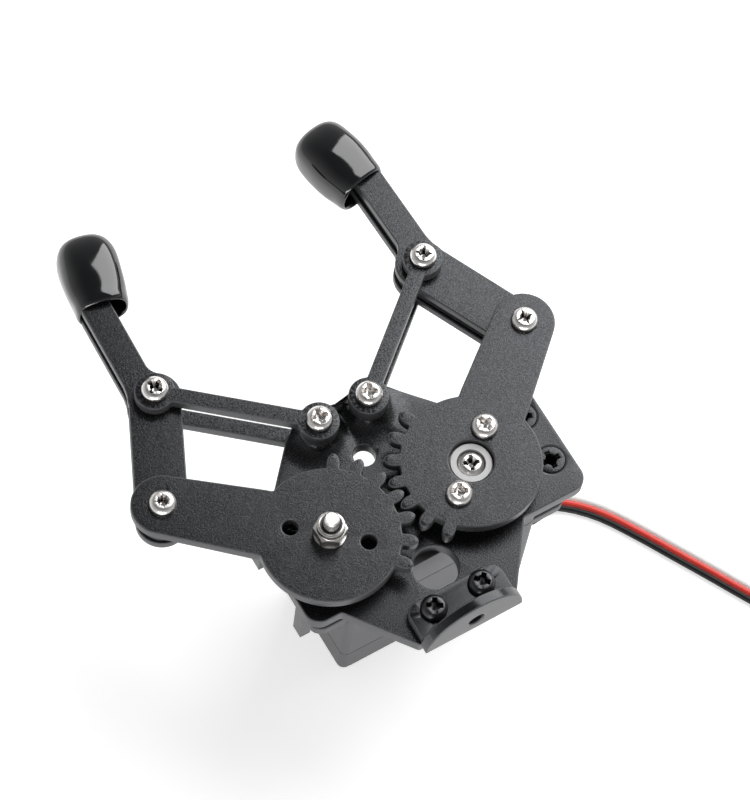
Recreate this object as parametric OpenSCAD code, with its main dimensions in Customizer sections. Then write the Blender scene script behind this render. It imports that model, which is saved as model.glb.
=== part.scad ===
// Two-finger parallel gripper, driven by a standard-size servo through two meshed gear sectors.
// Millimetres. +Z up, +Y towards the fingertips. The origin lies on the servo's resting face,
// below the middle of the two gear axes.

/* [Gears] */
// Distance between the two gear axes
gear_spacing = 30; // [29:0.1:31]
// Teeth that a full gear of this size would have
gear_teeth = 20; // [20:2:22]
// Teeth that each sector really carries
teeth_kept = 7; // [3:2:9]
// Height of a tooth above the pitch circle, in modules
tooth_addendum = 0.74; // [0.6:0.02:0.8]
// Depth of a tooth gap below the pitch circle, in modules
tooth_dedendum = 1.25; // [1.1:0.05:1.3]
// Tooth thickness at the pitch circle as a share of the tooth pitch
tooth_share = 0.45; // [0.4:0.01:0.47]

/* [Drive arms] */
// Length from gear axis to finger pivot
arm_length = 30.5; // [28:0.5:34]
// Angle of the right arm at rest, from the +X direction
arm_rest_angle = 40; // [36:1:44]
// Thickness of a drive arm
arm_t = 2.4; // [2:0.1:3]
// Radius of the arm's round end
arm_end_r = 5.8; // [5:0.1:6.2]
// Half width of the arm where it leaves the gear
arm_root_half_w = 6.45; // [5.8:0.05:7]
// Radius of the two small holes beside each gear axis
horn_hole_r = 1.5; // [1.2:0.1:1.7]
// Distance of those holes from the gear axis
horn_hole_offset = 7.2; // [6.5:0.1:7.5]

/* [Links and fingers] */
// Link pivot on the base: distance from the middle plane
link_base_x = 5.24; // [4.5:0.01:6]
// Link pivot on the base: distance in front of the gear axes
link_base_y = 20.35; // [19.5:0.05:21]
// Width of a link bar
link_w = 3; // [2.4:0.1:4]
// Thickness of a link
link_t = 2.4; // [1.6:0.1:3]
// Radius of a link's eye
link_eye_r = 3.75; // [3.2:0.05:4]
// Thickness of a finger
finger_t = 6.2; // [5:0.1:7]
// Width of the finger between its two pivots
finger_body_w = 9.6; // [9:0.1:10.4]
// Radius of the finger's end at the arm pivot
finger_end_r = 4.85; // [4.4:0.05:5.2]
// Radius of the finger's lobe at the link pivot
finger_lobe_r = 5; // [4.4:0.1:5.4]
// Width of the finger's straight tip
finger_tip_w = 5.6; // [5:0.1:6]
// Distance of the tip's end in front of the arm pivot
finger_reach = 47.5; // [46:0.5:49]
// Depth of the groove round the finger's edge
groove_depth = 0.9; // [0.5:0.1:1.2]
// Thickness of the rims above and below the groove
groove_rim = 1.9; // [1.5:0.1:2.2]
// Radius of the fillet between the tip and the body, on the outer side
outer_fillet_r = 15; // [10:0.5:20]
// Radius of the fillet between the tip and the lobe, on the inner side
inner_fillet_r = 3.5; // [2.5:0.1:4]

/* [Fingertip caps] */
// Length of a cap
cap_length = 16.8; // [15:0.2:18]
// Width of a cap
cap_w = 12.2; // [11:0.1:13]
// Thickness of a cap
cap_t = 11.6; // [10:0.1:12.4]
// Lean of the cap towards the other finger, in degrees
cap_lean = 11.5; // [8:0.5:14]

/* [Base plate] */
// Thickness of the base plate
plate_t = 3; // [2.5:0.1:3.5]
// Right-hand edge of the ears
plate_right = 33.6; // [33.4:0.1:35]
// Left-hand edge of the ears
plate_left = -25.3; // [-27:0.1:-24]
// Half length of the ears along Y
ear_half_y = 12.4; // [12:0.1:13]
// Corner radius of the ears
ear_corner_r = 3; // [1.5:0.1:4]
// Height of the arms' underside above the plate
arm_gap = 3.1; // [2.8:0.1:3.4]
// Radius of the large window behind the gears
window_r = 4.3; // [3.5:0.1:4.8]
// Radius of the small hole in the nose
nose_hole_r = 2.1; // [1.6:0.1:2.4]

/* [Rear bracket] */
// Radius of the half-round wall
bracket_wall_r = 10.2; // [9.8:0.1:11]
// Thickness of the wall
bracket_wall_t = 2; // [1.5:0.1:2.5]
// Thickness of the tab on the plate
bracket_tab_t = 2; // [1.5:0.1:2.5]
// Distance between the two bracket screws
bracket_screw_spacing = 10; // [9:0.5:12]
// Radius of the mounting hole in the wall
bracket_hole_r = 1.6; // [1.5:0.05:2]

/* [Servo] */
// Width of the servo case
servo_w = 20; // [19.6:0.1:20.2]
// Height of the servo case
servo_h = 37; // [36:0.1:38]
// Distance of the output axis from the near end of the case
output_inset = 10.2; // [9.8:0.1:10.6]
// Height of the case above the ears
servo_top_h = 9.7; // [9.5:0.1:10.4]
// Thickness of the ears
servo_ear_t = 2.5; // [2:0.1:3]
// Length of each ear
servo_ear_l = 7.1; // [6.8:0.1:7.2]
// Wall thickness of the case
servo_wall = 1.5; // [1.2:0.1:1.7]
// Distance of the ear holes from the end of the case
ear_hole_outset = 4.5; // [4.3:0.1:4.7]
// Distance between the ear holes across the servo
ear_hole_spacing_y = 10; // [9.6:0.1:10.4]
// Radius of the servo horn's disc
horn_r = 10; // [9.2:0.1:11]
// Thickness of the servo horn's disc
horn_t = 2.2; // [1.8:0.1:2.4]
// Gap between the motor and the far end wall of the servo
motor_end_gap = 1.2; // [1:0.1:1.6]

/* [Fasteners] */
// Radius of the main screws' shanks
screw_r = 1.5; // [1.4:0.05:1.5]
// Radius of the pan heads
pan_head_r = 2.5; // [2.3:0.1:3]
// Height of the pan heads
pan_head_h = 1.7; // [1.5:0.1:2.2]
// Radius of the countersunk heads
flat_head_r = 2.95; // [2.6:0.05:3.1]
// Width of the hexagon nuts across their flats
nut_flats = 5.5; // [5.3:0.1:5.6]
// Height of the plain nuts
nut_h = 2.4; // [2:0.1:2.6]
// Height of the lock nut
lock_nut_h = 4; // [3.6:0.1:4.4]

/* [Clearances] */
// Gap between flat faces that slide past each other
slide_gap = 0.2; // [0.15:0.05:0.3]
// Radial gap between a screw and a part that turns on it
turn_gap = 0.06; // [0.03:0.01:0.1]
// Radial gap between a fixed fastener and its hole
fit_gap = 0.02; // [0.01:0.01:0.05]

/* [Lead] */
// Width of the flat three-wire lead
lead_w = 3.9; // [3.6:0.1:4.2]
// Thickness of the lead
lead_t = 1.3; // [1.2:0.05:1.5]
// Turns of the stored coil
coil_turns = 1.5; // [1.25:0.25:1.5]
// Radius of the coil's outermost turn
coil_r = 23; // [22.6:0.1:24]
// Distance between neighbouring turns
coil_pitch = 4.5; // [4.4:0.05:4.6]
// Length of the connector
plug_l = 14; // [12:0.5:15]
// Width of the connector
plug_w = 7.6; // [7:0.1:8]
// Height of the connector
plug_h = 2.5; // [2.4:0.1:3]

/* [Hidden] */

$fn = 64;
eps = 0.01;
RIGHT = 1;
LEFT = -1;

// Colours
black_plastic = [0.10, 0.10, 0.11];
case_plastic = [0.07, 0.07, 0.08];
gloss_vinyl = [0.02, 0.02, 0.02];
bright_steel = [0.75, 0.75, 0.76];
black_steel = [0.12, 0.12, 0.12];
white_nylon = [0.88, 0.88, 0.86];
brass = [0.80, 0.65, 0.30];
board_green = [0.05, 0.30, 0.15];
lead_red = [0.85, 0.10, 0.08];

// Levels above the resting face
plate_z = servo_h;
plate_top = plate_z + plate_t;
arm_z = plate_top + arm_gap;
arm_top = arm_z + arm_t;
finger_top = arm_z - slide_gap;
finger_z = finger_top - finger_t;
upper_link_z = finger_top + slide_gap;
upper_link_top = upper_link_z + link_t;
lower_link_top = finger_z - slide_gap;
lower_link_z = lower_link_top - link_t;
base_boss_top = upper_link_z - slide_gap;

// Gears and pivots, right-hand side
gear_x = gear_spacing / 2;
gear_module = gear_spacing / gear_teeth;
tooth_tip_round = 0.55 * gear_module;
gear_root_r = gear_module * (gear_teeth / 2 - tooth_dedendum);
gear_tip_r = gear_module * (gear_teeth / 2 + tooth_addendum);
left_tooth_angle = 3;
right_tooth_angle = 180 - left_tooth_angle - 180 / gear_teeth;
arm_dir = [cos(arm_rest_angle), sin(arm_rest_angle)];
arm_pivot = [gear_x, 0] + arm_length * arm_dir;
link_base = [link_base_x, link_base_y];
link_pivot = link_base + arm_length * arm_dir;
finger_vec = link_pivot - arm_pivot;

// Base plate outline
base_boss_r = 3.4;
base_boss_foot_r = 8.5;
base_boss_flare_h = base_boss_top - plate_top - 0.2;
nose_half_w = 8.6;
nose_front_y = link_base_y + base_boss_r;
nose_corner = [11, nose_front_y - 1.7];
nose_root_x = 19.7;
tail_root_x = 19.4;
tail_half_w = bracket_wall_r;
tail_y = -24.6;
post_depth = 2.2;
post_inner_y = 6.2;
post_outer_y = 9;
window_y = -13;
nose_hole_y = 12.3;

// Rear bracket
bracket_half_w = 9.8;
bracket_front_y = -17.6;
bracket_corner_r = 2.5;
bracket_screw_y = -20.4;
bracket_hole_z = plate_top + 4.2;
bracket_wall_y = tail_y - bracket_wall_t;

// Servo gear train: three compound gears between the motor and the output gear. The widest gear
// fills the case from side to side, and the train with the motor gives the case its length.
train_big = 38;
train_small = 12;
train_addendum = 0.8;
train_dedendum = 1.15;
train_side_gap = 0.58;
train_module = (servo_w / 2 - servo_wall - train_side_gap) / (train_big / 2 + train_addendum);
train_axis = train_module * (train_big + train_small) / 2;
train_x = [gear_x, gear_x - train_axis, gear_x - 2 * train_axis];
motor_side_gap = 0.9;
motor_r = servo_w / 2 - servo_wall - motor_side_gap;

// Servo
servo_right = gear_x + output_inset;
servo_left = train_x[2] - motor_r - motor_end_gap - servo_wall;
servo_l = servo_right - servo_left;
servo_ear_z = servo_h - servo_top_h - servo_ear_t;
case_corner_r = 1.5;
case_floor = 1.2;
bottom_cover_h = 7;
ear_top = servo_ear_z + servo_ear_t;
ear_hole_r = 2.2;
ear_corner_r_servo = 2.5;
servo_ear_half_w = 9.75;
ear_screw_x = [servo_left - ear_hole_outset, servo_right + ear_hole_outset];
mount_boss_r = 3.4;
case_screw_inset = 2.35;
case_post_r = 2.2;
case_screw_r = 1;
case_screw_head_r = 1.9;
case_screw_head_h = 1.4;
case_screw_cover = 5;
case_screw_end = servo_h - case_screw_cover;
middle_roof = 1.5;
top_lid = 1.2;
output_boss_r = 6;
output_boss_h = 2.2;
output_bore_r = 4.5;
shaft_r = 3;
spline_r = 2.95;
horn_z = arm_z - horn_t;
horn_hub_r = 3.8;
horn_hub_top = arm_top - 0.9;
horn_screw_seat = horn_hub_top - 1.5;
horn_bore_top = horn_screw_seat - 1;
arm_hub_hole_r = 4.2;
horn_screw_depth = 6;
plate_output_hole_r = output_boss_r + 1;

// Inside the servo: gears stacked below the roof, motor, potentiometer and circuit board
train_small_phase = 180 / train_small;
train_levels = 4;
train_roof_gap = 2;
train_roof_z = servo_h - top_lid;
train_z = ear_top + 0.5;
train_step = (train_roof_z - train_roof_gap - train_z) / train_levels;
train_face = train_step - slide_gap;
train_backlash_share = 0.42;
gear_pin_r = 0.75;
pot_shaft_r = 1.2;
pot_r = 5;
pot_h = 11;
pot_socket = 4.5;
motor_shaft_r = 1;
motor_h = 16.5;
motor_socket = 2.5;
board_t = 1.2;
board_end_gap = 2.7;
board_side_gap = 1.5;
stand_h = 2.8;
stand_r = 1;
stand_end_gap = 6.5;
stand_y = servo_w / 4;

// Idler pivot of the left-hand gear
idler_neck_r = 2.4;
idler_flange_r = 4;
idler_washer_r = 3;
idler_washer_t = 0.5;
idler_neck_top = arm_top + slide_gap / 2;
idler_stand_out = 2.6;
idler_end = idler_neck_top + idler_washer_t + lock_nut_h + idler_stand_out;

// Finger outline, measured from the arm pivot: a body towards the link pivot and a straight tip.
// The outer fillet touches both outer edges, the inner one the tip's edge and the lobe.
tip_foot = [-8.8, 28.3];
tip_end = [-9.45, finger_reach];
fillet_bite = 0.04;
tip_dir = unit(tip_end - tip_foot);
tip_side = side_dir(tip_dir);
body_side = side_dir(unit(finger_vec));
tip_start = tip_foot + tip_dir * ((finger_vec - tip_foot) * tip_dir);
outer_fillet = meeting_point(
    tip_side, tip_foot * tip_side + finger_tip_w / 2 + outer_fillet_r,
    body_side, finger_body_w / 2 + outer_fillet_r
);
inner_fillet_aside = finger_tip_w / 2 + inner_fillet_r + (finger_vec - tip_foot) * tip_side;
inner_fillet_along = sqrt(pow(finger_lobe_r + inner_fillet_r, 2) - pow(inner_fillet_aside, 2));
inner_fillet = finger_vec - inner_fillet_aside * tip_side + inner_fillet_along * tip_dir;

// Caps: middle of the mouth, measured from the arm pivot
cap_mouth = [-10.5, 40.4];
cap_mouth_r = 4.8;
cap_wall = 0.9;
cap_hollow_depth = 5;
cap_hollow_end_r = 2.6;
cap_corner_r = 4.6;

// The lead leaves the grommet, drops to the resting surface and runs to the coil
grommet_out = 1.8;
grommet_w = 5.2;
grommet_h = 3.2;
lead_exit_z = 4.2;
lead_rest_z = lead_t / 2;
socket_w = 0.8;
socket_depth = 8;
lead_points = [
    [27, 0, 4.2], [31, 0.5, 3.8], [36, 0.8, 1.6], [40.8, -1.6, 0.65], [45.8, -6.8, 0.65],
    [50.2, -13.8, 0.65], [54, -20.6, 0.65], [57.8, -27.4, 0.65], [61.6, -34.4, 0.65],
    [66, -42, 0.65], [71, -49, 0.65], [73.4, -52.2, 0.65]
];
coil_heading = atan2(-3.2, 2.4);
coil_steps = 24;
hook_r = 8.5;
hook_angle = 105;
hook_steps = 7;
lead_end = lead_points[len(lead_points) - 1];

// ---------------------------------------------------------------- shared shapes

function unit(v) = v / norm(v);
function side_dir(v) = [v[1], -v[0]];

// Point p for which p * n1 = d1 and p * n2 = d2
function meeting_point(n1, d1, n2, d2) =
    [d1 * n2[1] - d2 * n1[1], n1[0] * d2 - n2[0] * d1] / (n1[0] * n2[1] - n2[0] * n1[1]);

// Involute tooth: angle that the flank has turned at radius r, for a base circle of radius rb
function flank_turn(r, rb) = r <= rb ? 0 : sqrt(pow(r / rb, 2) - 1) * 180 / PI - acos(rb / r);

function tooth_half_angle(r, teeth, m, share) =
    let (pitch_r = m * teeth / 2, base_r = pitch_r * cos(20))
    180 / teeth * share + flank_turn(pitch_r, base_r) - flank_turn(r, base_r);

// One tooth about the +X direction, rooted a little inside its gear's body. Over the outermost
// tip_round millimetres the tooth narrows along an ellipse to a round end.
module tooth(teeth, m, addendum, dedendum, share, steps = 4, tip_round = 0) {
    start = m * (teeth / 2 - dedendum) - 0.12 * m;
    tip = m * (teeth / 2 + addendum);
    round_start = tip - tip_round;
    straight = [for (i = [0 : steps]) start + (round_start - start) * i / steps];
    rounded = tip_round > 0 ? [for (a = [22.5 : 22.5 : 67.5]) round_start + tip_round * sin(a)] : [];
    flank = [
        for (r = concat(straight, rounded))
            let (share_left = r > round_start ? sqrt(1 - pow((r - round_start) / tip_round, 2)) : 1)
            let (a = tooth_half_angle(r, teeth, m, share) * share_left) [r * cos(a), r * sin(a)]
    ];
    foot = start * 0.93;
    foot_half = tooth_half_angle(start, teeth, m, share);
    lower = [for (p = flank) [p[0], -p[1]]];
    upper = [for (i = [len(flank) - 1 : -1 : 0]) flank[i]];
    polygon(concat([[foot * cos(foot_half), -foot * sin(foot_half)]], lower,
        tip_round > 0 ? [[tip, 0]] : [], upper, [[foot * cos(foot_half), foot * sin(foot_half)]]));
}

// Small full gear of the servo's train, with its lower face at z
module train_gear(teeth, x, z, phase) {
    translate([x, 0, z])
        linear_extrude(train_face) {
            circle(train_module * (teeth / 2 - train_dedendum));
            for (i = [0 : teeth - 1])
                rotate(phase + i * 360 / teeth)
                    tooth(teeth, train_module, train_addendum, train_dedendum, train_backlash_share, 2);
        }
}

module rounded_rect(x0, x1, y0, y1, r) {
    translate([x0 + r, y0])
        square([x1 - x0 - 2 * r, y1 - y0]);
    translate([x0, y0 + r])
        square([x1 - x0, y1 - y0 - 2 * r]);
    for (x = [x0 + r, x1 - r], y = [y0 + r, y1 - r])
        translate([x, y])
            circle(r);
}

module tube(r_out, r_in, h) {
    difference() {
        cylinder(r = r_out, h = h);
        translate([0, 0, -eps])
            cylinder(r = r_in, h = h + 2 * eps);
    }
}

// Cross recess, cut downwards from z = 0
module cross_recess(r) {
    depth = r * 0.5;
    for (a = [0, 90])
        rotate(a)
            translate([-r * 0.55, -r * 0.13, -depth])
                cube([r * 1.1, r * 0.26, depth + 1]);
}

// Screw with a pan head: z = 0 is the seat under the head, the shank runs down
module pan_screw(shank_l, shank_r = screw_r, head_r = pan_head_r, head_h = pan_head_h) {
    edge = head_h * 0.4;
    translate([0, 0, -shank_l])
        cylinder(r = shank_r, h = shank_l + eps);
    difference() {
        union() {
            cylinder(r = head_r, h = head_h - edge);
            translate([0, 0, head_h - edge - eps])
                cylinder(r1 = head_r, r2 = head_r - edge, h = edge + eps);
        }
        translate([0, 0, head_h])
            cross_recess(head_r);
    }
}

// Screw with a countersunk head: z = 0 is the flat top of the head, the shank runs down
module flat_screw(length, cross = true) {
    cone_h = flat_head_r - screw_r;
    difference() {
        union() {
            translate([0, 0, -length])
                cylinder(r = screw_r, h = length - cone_h + eps);
            translate([0, 0, -cone_h])
                cylinder(r1 = screw_r, r2 = flat_head_r, h = cone_h);
        }
        if (cross)
            cross_recess(flat_head_r);
    }
}

module flat_screw_hole(length) {
    cone_h = flat_head_r - screw_r;
    translate([0, 0, -length - eps])
        cylinder(r = screw_r + fit_gap, h = length + 1);
    translate([0, 0, -cone_h])
        cylinder(r1 = screw_r + fit_gap, r2 = flat_head_r + fit_gap, h = cone_h + eps);
}

// Hexagon nut, lower face at z = 0
module hex_nut(h = nut_h, flats = nut_flats) {
    difference() {
        cylinder(r = flats / 2 / cos(30), h = h, $fn = 6);
        translate([0, 0, -eps])
            cylinder(r = screw_r + fit_gap, h = h + 2 * eps);
    }
}

// Round boss of radius r whose foot curves out to foot_r
module flared_boss(r, foot_r, flare_h, h, steps = 6) {
    foot = [
        for (i = [0 : steps])
            let (a = 90 * i / steps) [foot_r - (foot_r - r) * sin(a), flare_h * (1 - cos(a))]
    ];
    rotate_extrude()
        polygon(concat([[0, 0]], foot, [[r, h], [0, h]]));
}

// Draws its children for the right-hand side, or mirrored for the left-hand side
module on_side(side) {
    mirror([side == LEFT ? 1 : 0, 0, 0])
        children();
}

// ---------------------------------------------------------------- base plate and bracket

module plate_outline() {
    rounded_rect(plate_left, plate_right, -ear_half_y, ear_half_y, ear_corner_r);
    polygon([
        [-nose_root_x, ear_half_y - 1], [nose_root_x, ear_half_y - 1], [nose_root_x, ear_half_y],
        nose_corner, [nose_half_w, nose_front_y], [-nose_half_w, nose_front_y],
        [-nose_corner[0], nose_corner[1]], [-nose_root_x, ear_half_y]
    ]);
    polygon([
        [-tail_root_x, -ear_half_y + 1], [-tail_root_x, -ear_half_y], [-tail_half_w, tail_y],
        [tail_half_w, tail_y], [tail_root_x, -ear_half_y], [tail_root_x, -ear_half_y + 1]
    ]);
}

module ear_posts() {
    for (x = ear_screw_x, y = [-1, 1] * ear_hole_spacing_y / 2)
        translate([x, y, ear_top])
            cylinder(r = mount_boss_r, h = plate_z - ear_top + eps);
    for (x = [plate_left, plate_right - post_depth], s = [-1, 1])
        translate([x, s > 0 ? post_inner_y : -post_outer_y, ear_top])
            cube([post_depth, post_outer_y - post_inner_y, plate_z - ear_top + eps]);
}

module base_plate() {
    boss_h = base_boss_top - plate_top;
    color(black_plastic)
        difference() {
            union() {
                translate([0, 0, plate_z])
                    linear_extrude(plate_t)
                        plate_outline();
                ear_posts();
                intersection() {
                    for (s = [RIGHT, LEFT])
                        translate([s * link_base[0], link_base[1], plate_top - eps])
                            flared_boss(base_boss_r, base_boss_foot_r, base_boss_flare_h, boss_h + eps);
                    translate([0, 0, plate_z])
                        linear_extrude(plate_t + boss_h + 1)
                            plate_outline();
                }
                for (s = [RIGHT, LEFT])
                    translate([s * link_base[0], link_base[1], lower_link_top + slide_gap])
                        cylinder(r = base_boss_r, h = plate_z - lower_link_top - slide_gap + eps);
            }
            for (s = [RIGHT, LEFT])
                translate([s * link_base[0], link_base[1], lower_link_top])
                    cylinder(r = screw_r + fit_gap, h = base_boss_top - lower_link_top + 1);
            for (x = ear_screw_x, y = [-1, 1] * ear_hole_spacing_y / 2)
                translate([x, y, plate_top])
                    flat_screw_hole(plate_top - ear_top);
            translate([gear_x, 0, plate_z - 1])
                cylinder(r = plate_output_hole_r, h = plate_t + 2);
            translate([-gear_x, 0, plate_z])
                mirror([0, 0, 1])
                    flat_screw_hole(plate_t);
            translate([0, window_y, plate_z - 1])
                cylinder(r = window_r, h = plate_t + 2);
            translate([0, nose_hole_y, plate_z - 1])
                cylinder(r = nose_hole_r, h = plate_t + 2);
            for (s = [-1, 1] * bracket_screw_spacing / 2)
                translate([s, bracket_screw_y, plate_z - 1])
                    cylinder(r = screw_r + fit_gap, h = plate_t + 2);
        }
}

module rear_bracket() {
    color(black_plastic)
        difference() {
            union() {
                translate([0, 0, plate_top])
                    linear_extrude(bracket_tab_t) {
                        rounded_rect(-bracket_half_w, bracket_half_w, tail_y, bracket_front_y,
                            bracket_corner_r);
                        translate([-bracket_half_w, tail_y - eps])
                            square([2 * bracket_half_w, bracket_corner_r + eps]);
                    }
                intersection() {
                    translate([0, tail_y + eps, plate_top])
                        rotate([90, 0, 0])
                            cylinder(r = bracket_wall_r, h = bracket_wall_t + eps);
                    translate([-bracket_wall_r, bracket_wall_y, plate_top])
                        cube([2 * bracket_wall_r, bracket_wall_t + eps, bracket_wall_r]);
                }
            }
            for (s = [-1, 1] * bracket_screw_spacing / 2)
                translate([s, bracket_screw_y, plate_top - 1])
                    cylinder(r = screw_r + fit_gap, h = bracket_tab_t + 2);
            translate([0, tail_y + 1, bracket_hole_z])
                rotate([90, 0, 0])
                    cylinder(r = bracket_hole_r, h = bracket_wall_t + 2);
        }
}

module bracket_screws() {
    color(black_steel)
        for (s = [-1, 1] * bracket_screw_spacing / 2)
            translate([s, bracket_screw_y, plate_top + bracket_tab_t])
                pan_screw(bracket_tab_t + plate_t + nut_h + 0.4);
}

module bracket_nuts() {
    color(bright_steel)
        for (s = [-1, 1] * bracket_screw_spacing / 2)
            translate([s, bracket_screw_y, plate_z - nut_h])
                hex_nut();
}

module servo_mount_screws() {
    color(black_steel)
        for (x = ear_screw_x, y = [-1, 1] * ear_hole_spacing_y / 2)
            translate([x, y, plate_top])
                flat_screw(plate_top - servo_ear_z + nut_h + 0.4);
}

module servo_mount_nuts() {
    color(bright_steel)
        for (x = ear_screw_x, y = [-1, 1] * ear_hole_spacing_y / 2)
            translate([x, y, servo_ear_z - nut_h])
                hex_nut();
}

// ---------------------------------------------------------------- servo case and fixed inner pieces

case_screw_xy = [
    for (x = [servo_left + case_screw_inset, servo_right - case_screw_inset],
        y = [-1, 1] * (servo_w / 2 - case_screw_inset)) [x, y]
];

module case_outline() {
    rounded_rect(servo_left, servo_right, -servo_w / 2, servo_w / 2, case_corner_r);
}

// Inside of the case, leaving the four screw posts standing
module case_cavity() {
    difference() {
        translate([servo_left + servo_wall, -servo_w / 2 + servo_wall])
            square([servo_l - 2 * servo_wall, servo_w - 2 * servo_wall]);
        for (p = case_screw_xy)
            translate(p)
                circle(case_post_r);
    }
}

module case_screw_holes(z, h) {
    for (p = case_screw_xy)
        translate([p[0], p[1], z])
            cylinder(r = case_screw_r + fit_gap, h = h, $fn = 32);
}

module servo_bottom_cover() {
    color(case_plastic)
        difference() {
            union() {
                difference() {
                    linear_extrude(bottom_cover_h)
                        case_outline();
                    translate([0, 0, case_floor])
                        linear_extrude(bottom_cover_h)
                            case_cavity();
                }
                for (x = [servo_left + servo_wall + stand_end_gap, servo_right - servo_wall - stand_end_gap],
                        y = [-stand_y, stand_y])
                    translate([x, y, case_floor - eps])
                        cylinder(r = stand_r, h = stand_h, $fn = 24);
            }
            case_screw_holes(-1, bottom_cover_h + 2);
            for (p = case_screw_xy)
                translate([p[0], p[1], -1])
                    cylinder(r = case_screw_head_r + 0.1, h = case_screw_head_h + 1.3, $fn = 32);
            translate([servo_right - servo_wall - 1, -lead_w / 2 - 0.5, lead_exit_z - lead_t / 2 - 0.5])
                cube([servo_wall + 2, lead_w + 1, lead_t + 1]);
        }
}

module servo_middle_case() {
    color(case_plastic)
        difference() {
            union() {
                translate([0, 0, bottom_cover_h])
                    linear_extrude(ear_top - bottom_cover_h)
                        case_outline();
                translate([0, 0, servo_ear_z])
                    linear_extrude(servo_ear_t)
                        rounded_rect(servo_left - servo_ear_l, servo_right + servo_ear_l,
                            -servo_ear_half_w, servo_ear_half_w, ear_corner_r_servo);
            }
            translate([0, 0, bottom_cover_h - 1])
                linear_extrude(ear_top - middle_roof - bottom_cover_h + 1)
                    case_cavity();
            case_screw_holes(bottom_cover_h - 1, ear_top - bottom_cover_h + 2);
            for (x = ear_screw_x, y = [-1, 1] * ear_hole_spacing_y / 2)
                translate([x, y, servo_ear_z - 1])
                    cylinder(r = ear_hole_r, h = servo_ear_t + 2);
            translate([train_x[0], 0, ear_top - middle_roof - 1])
                cylinder(r = pot_shaft_r + 0.3, h = middle_roof + 2, $fn = 32);
            translate([train_x[1], 0, ear_top - middle_roof - 1])
                cylinder(r = gear_pin_r + fit_gap, h = middle_roof + 2, $fn = 32);
            translate([train_x[2], 0, ear_top - middle_roof - 1])
                cylinder(r = motor_shaft_r + 0.3, h = middle_roof + 2, $fn = 32);
        }
}

module servo_top_cover() {
    color(case_plastic)
        difference() {
            union() {
                translate([0, 0, ear_top])
                    linear_extrude(servo_h - ear_top)
                        case_outline();
                translate([gear_x, 0, servo_h - eps])
                    cylinder(r = output_boss_r, h = output_boss_h + eps);
            }
            translate([0, 0, ear_top - 1])
                linear_extrude(train_roof_z - ear_top + 1)
                    case_cavity();
            case_screw_holes(ear_top - 1, case_screw_end - ear_top + 1.3);
            translate([gear_x, 0, train_roof_z - 1])
                cylinder(r = output_bore_r + fit_gap, h = top_lid + output_boss_h + 2);
            translate([train_x[1], 0, train_roof_z - 1])
                cylinder(r = gear_pin_r + fit_gap, h = 1.7, $fn = 32);
        }
}

module servo_case_screws() {
    color(bright_steel)
        for (p = case_screw_xy)
            translate([p[0], p[1], case_screw_head_h + 0.3])
                mirror([0, 0, 1])
                    pan_screw(case_screw_end - case_screw_head_h - 0.3, case_screw_r,
                        case_screw_head_r, case_screw_head_h);
}

module servo_motor() {
    roof = ear_top - middle_roof;
    color(bright_steel)
        translate([train_x[2], 0, roof - motor_h])
            difference() {
                cylinder(r = motor_r, h = motor_h);
                translate([0, 0, motor_h - motor_socket])
                    cylinder(r = motor_shaft_r + turn_gap, h = motor_socket + 1, $fn = 32);
            }
}

module servo_circuit_board() {
    board_w = servo_w - 2 * servo_wall - 2 * board_side_gap;
    color(board_green)
        translate([servo_left + servo_wall + board_end_gap, -board_w / 2, case_floor + stand_h - eps])
            cube([servo_l - 2 * servo_wall - 2 * board_end_gap, board_w, board_t]);
}

module servo_potentiometer() {
    roof = ear_top - middle_roof;
    color(board_green)
        translate([train_x[0], 0, roof - pot_h])
            difference() {
                cylinder(r = pot_r, h = pot_h);
                translate([0, 0, pot_h - pot_socket])
                    cylinder(r = pot_shaft_r + turn_gap, h = pot_socket + 1, $fn = 32);
            }
}

module servo_gear_pin() {
    color(bright_steel)
        translate([train_x[1], 0, ear_top - middle_roof])
            cylinder(r = gear_pin_r, h = train_roof_z + 0.6 - ear_top + middle_roof, $fn = 32);
}

module servo_output_bush() {
    color(brass)
        translate([gear_x, 0, train_roof_z])
            tube(output_bore_r, shaft_r + turn_gap, top_lid + output_boss_h - 0.2);
}

// ---------------------------------------------------------------- lead, coil and connector

// Ring of a flat cord: n points round an ellipse-like section of the lead's width and thickness
function ring_shape(n) =
    let (raw = [for (i = [0 : n - 1]) let (a = 360 * (i + 0.5) / n) [cos(a), sin(a)]])
    let (widest = max([for (q = raw) q[0]]), tallest = max([for (q = raw) q[1]]))
    [for (p = raw) [p[0] * lead_w / 2 / widest, p[1] * lead_t / 2 / tallest]];

function tangent(path, i) =
    unit(path[min(i + 1, len(path) - 1)] - path[max(i - 1, 0)]);

function ring_at(path, i, n, dir) =
    let (across = unit([dir[1], -dir[0], 0]), up = cross(across, dir))
    [for (q = ring_shape(n)) path[i] + q[0] * across + q[1] * up];

module swept_cord(path, n, first_dir, last_dir) {
    last = len(path) - 1;
    points = [
        for (i = [0 : last])
            each ring_at(path, i, n, i == 0 ? first_dir : i == last ? last_dir : tangent(path, i))
    ];
    sides = [
        for (i = [0 : last - 1], k = [0 : n - 1])
            let (a = i * n + k, b = i * n + (k + 1) % n)
            each [[a, a + n, b], [b, a + n, b + n]]
    ];
    start_cap = [for (k = [1 : n - 2]) [0, k, k + 1]];
    end_cap = [for (k = [1 : n - 2]) [last * n, last * n + k + 1, last * n + k]];
    polyhedron(points, concat(sides, start_cap, end_cap));
}

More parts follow.
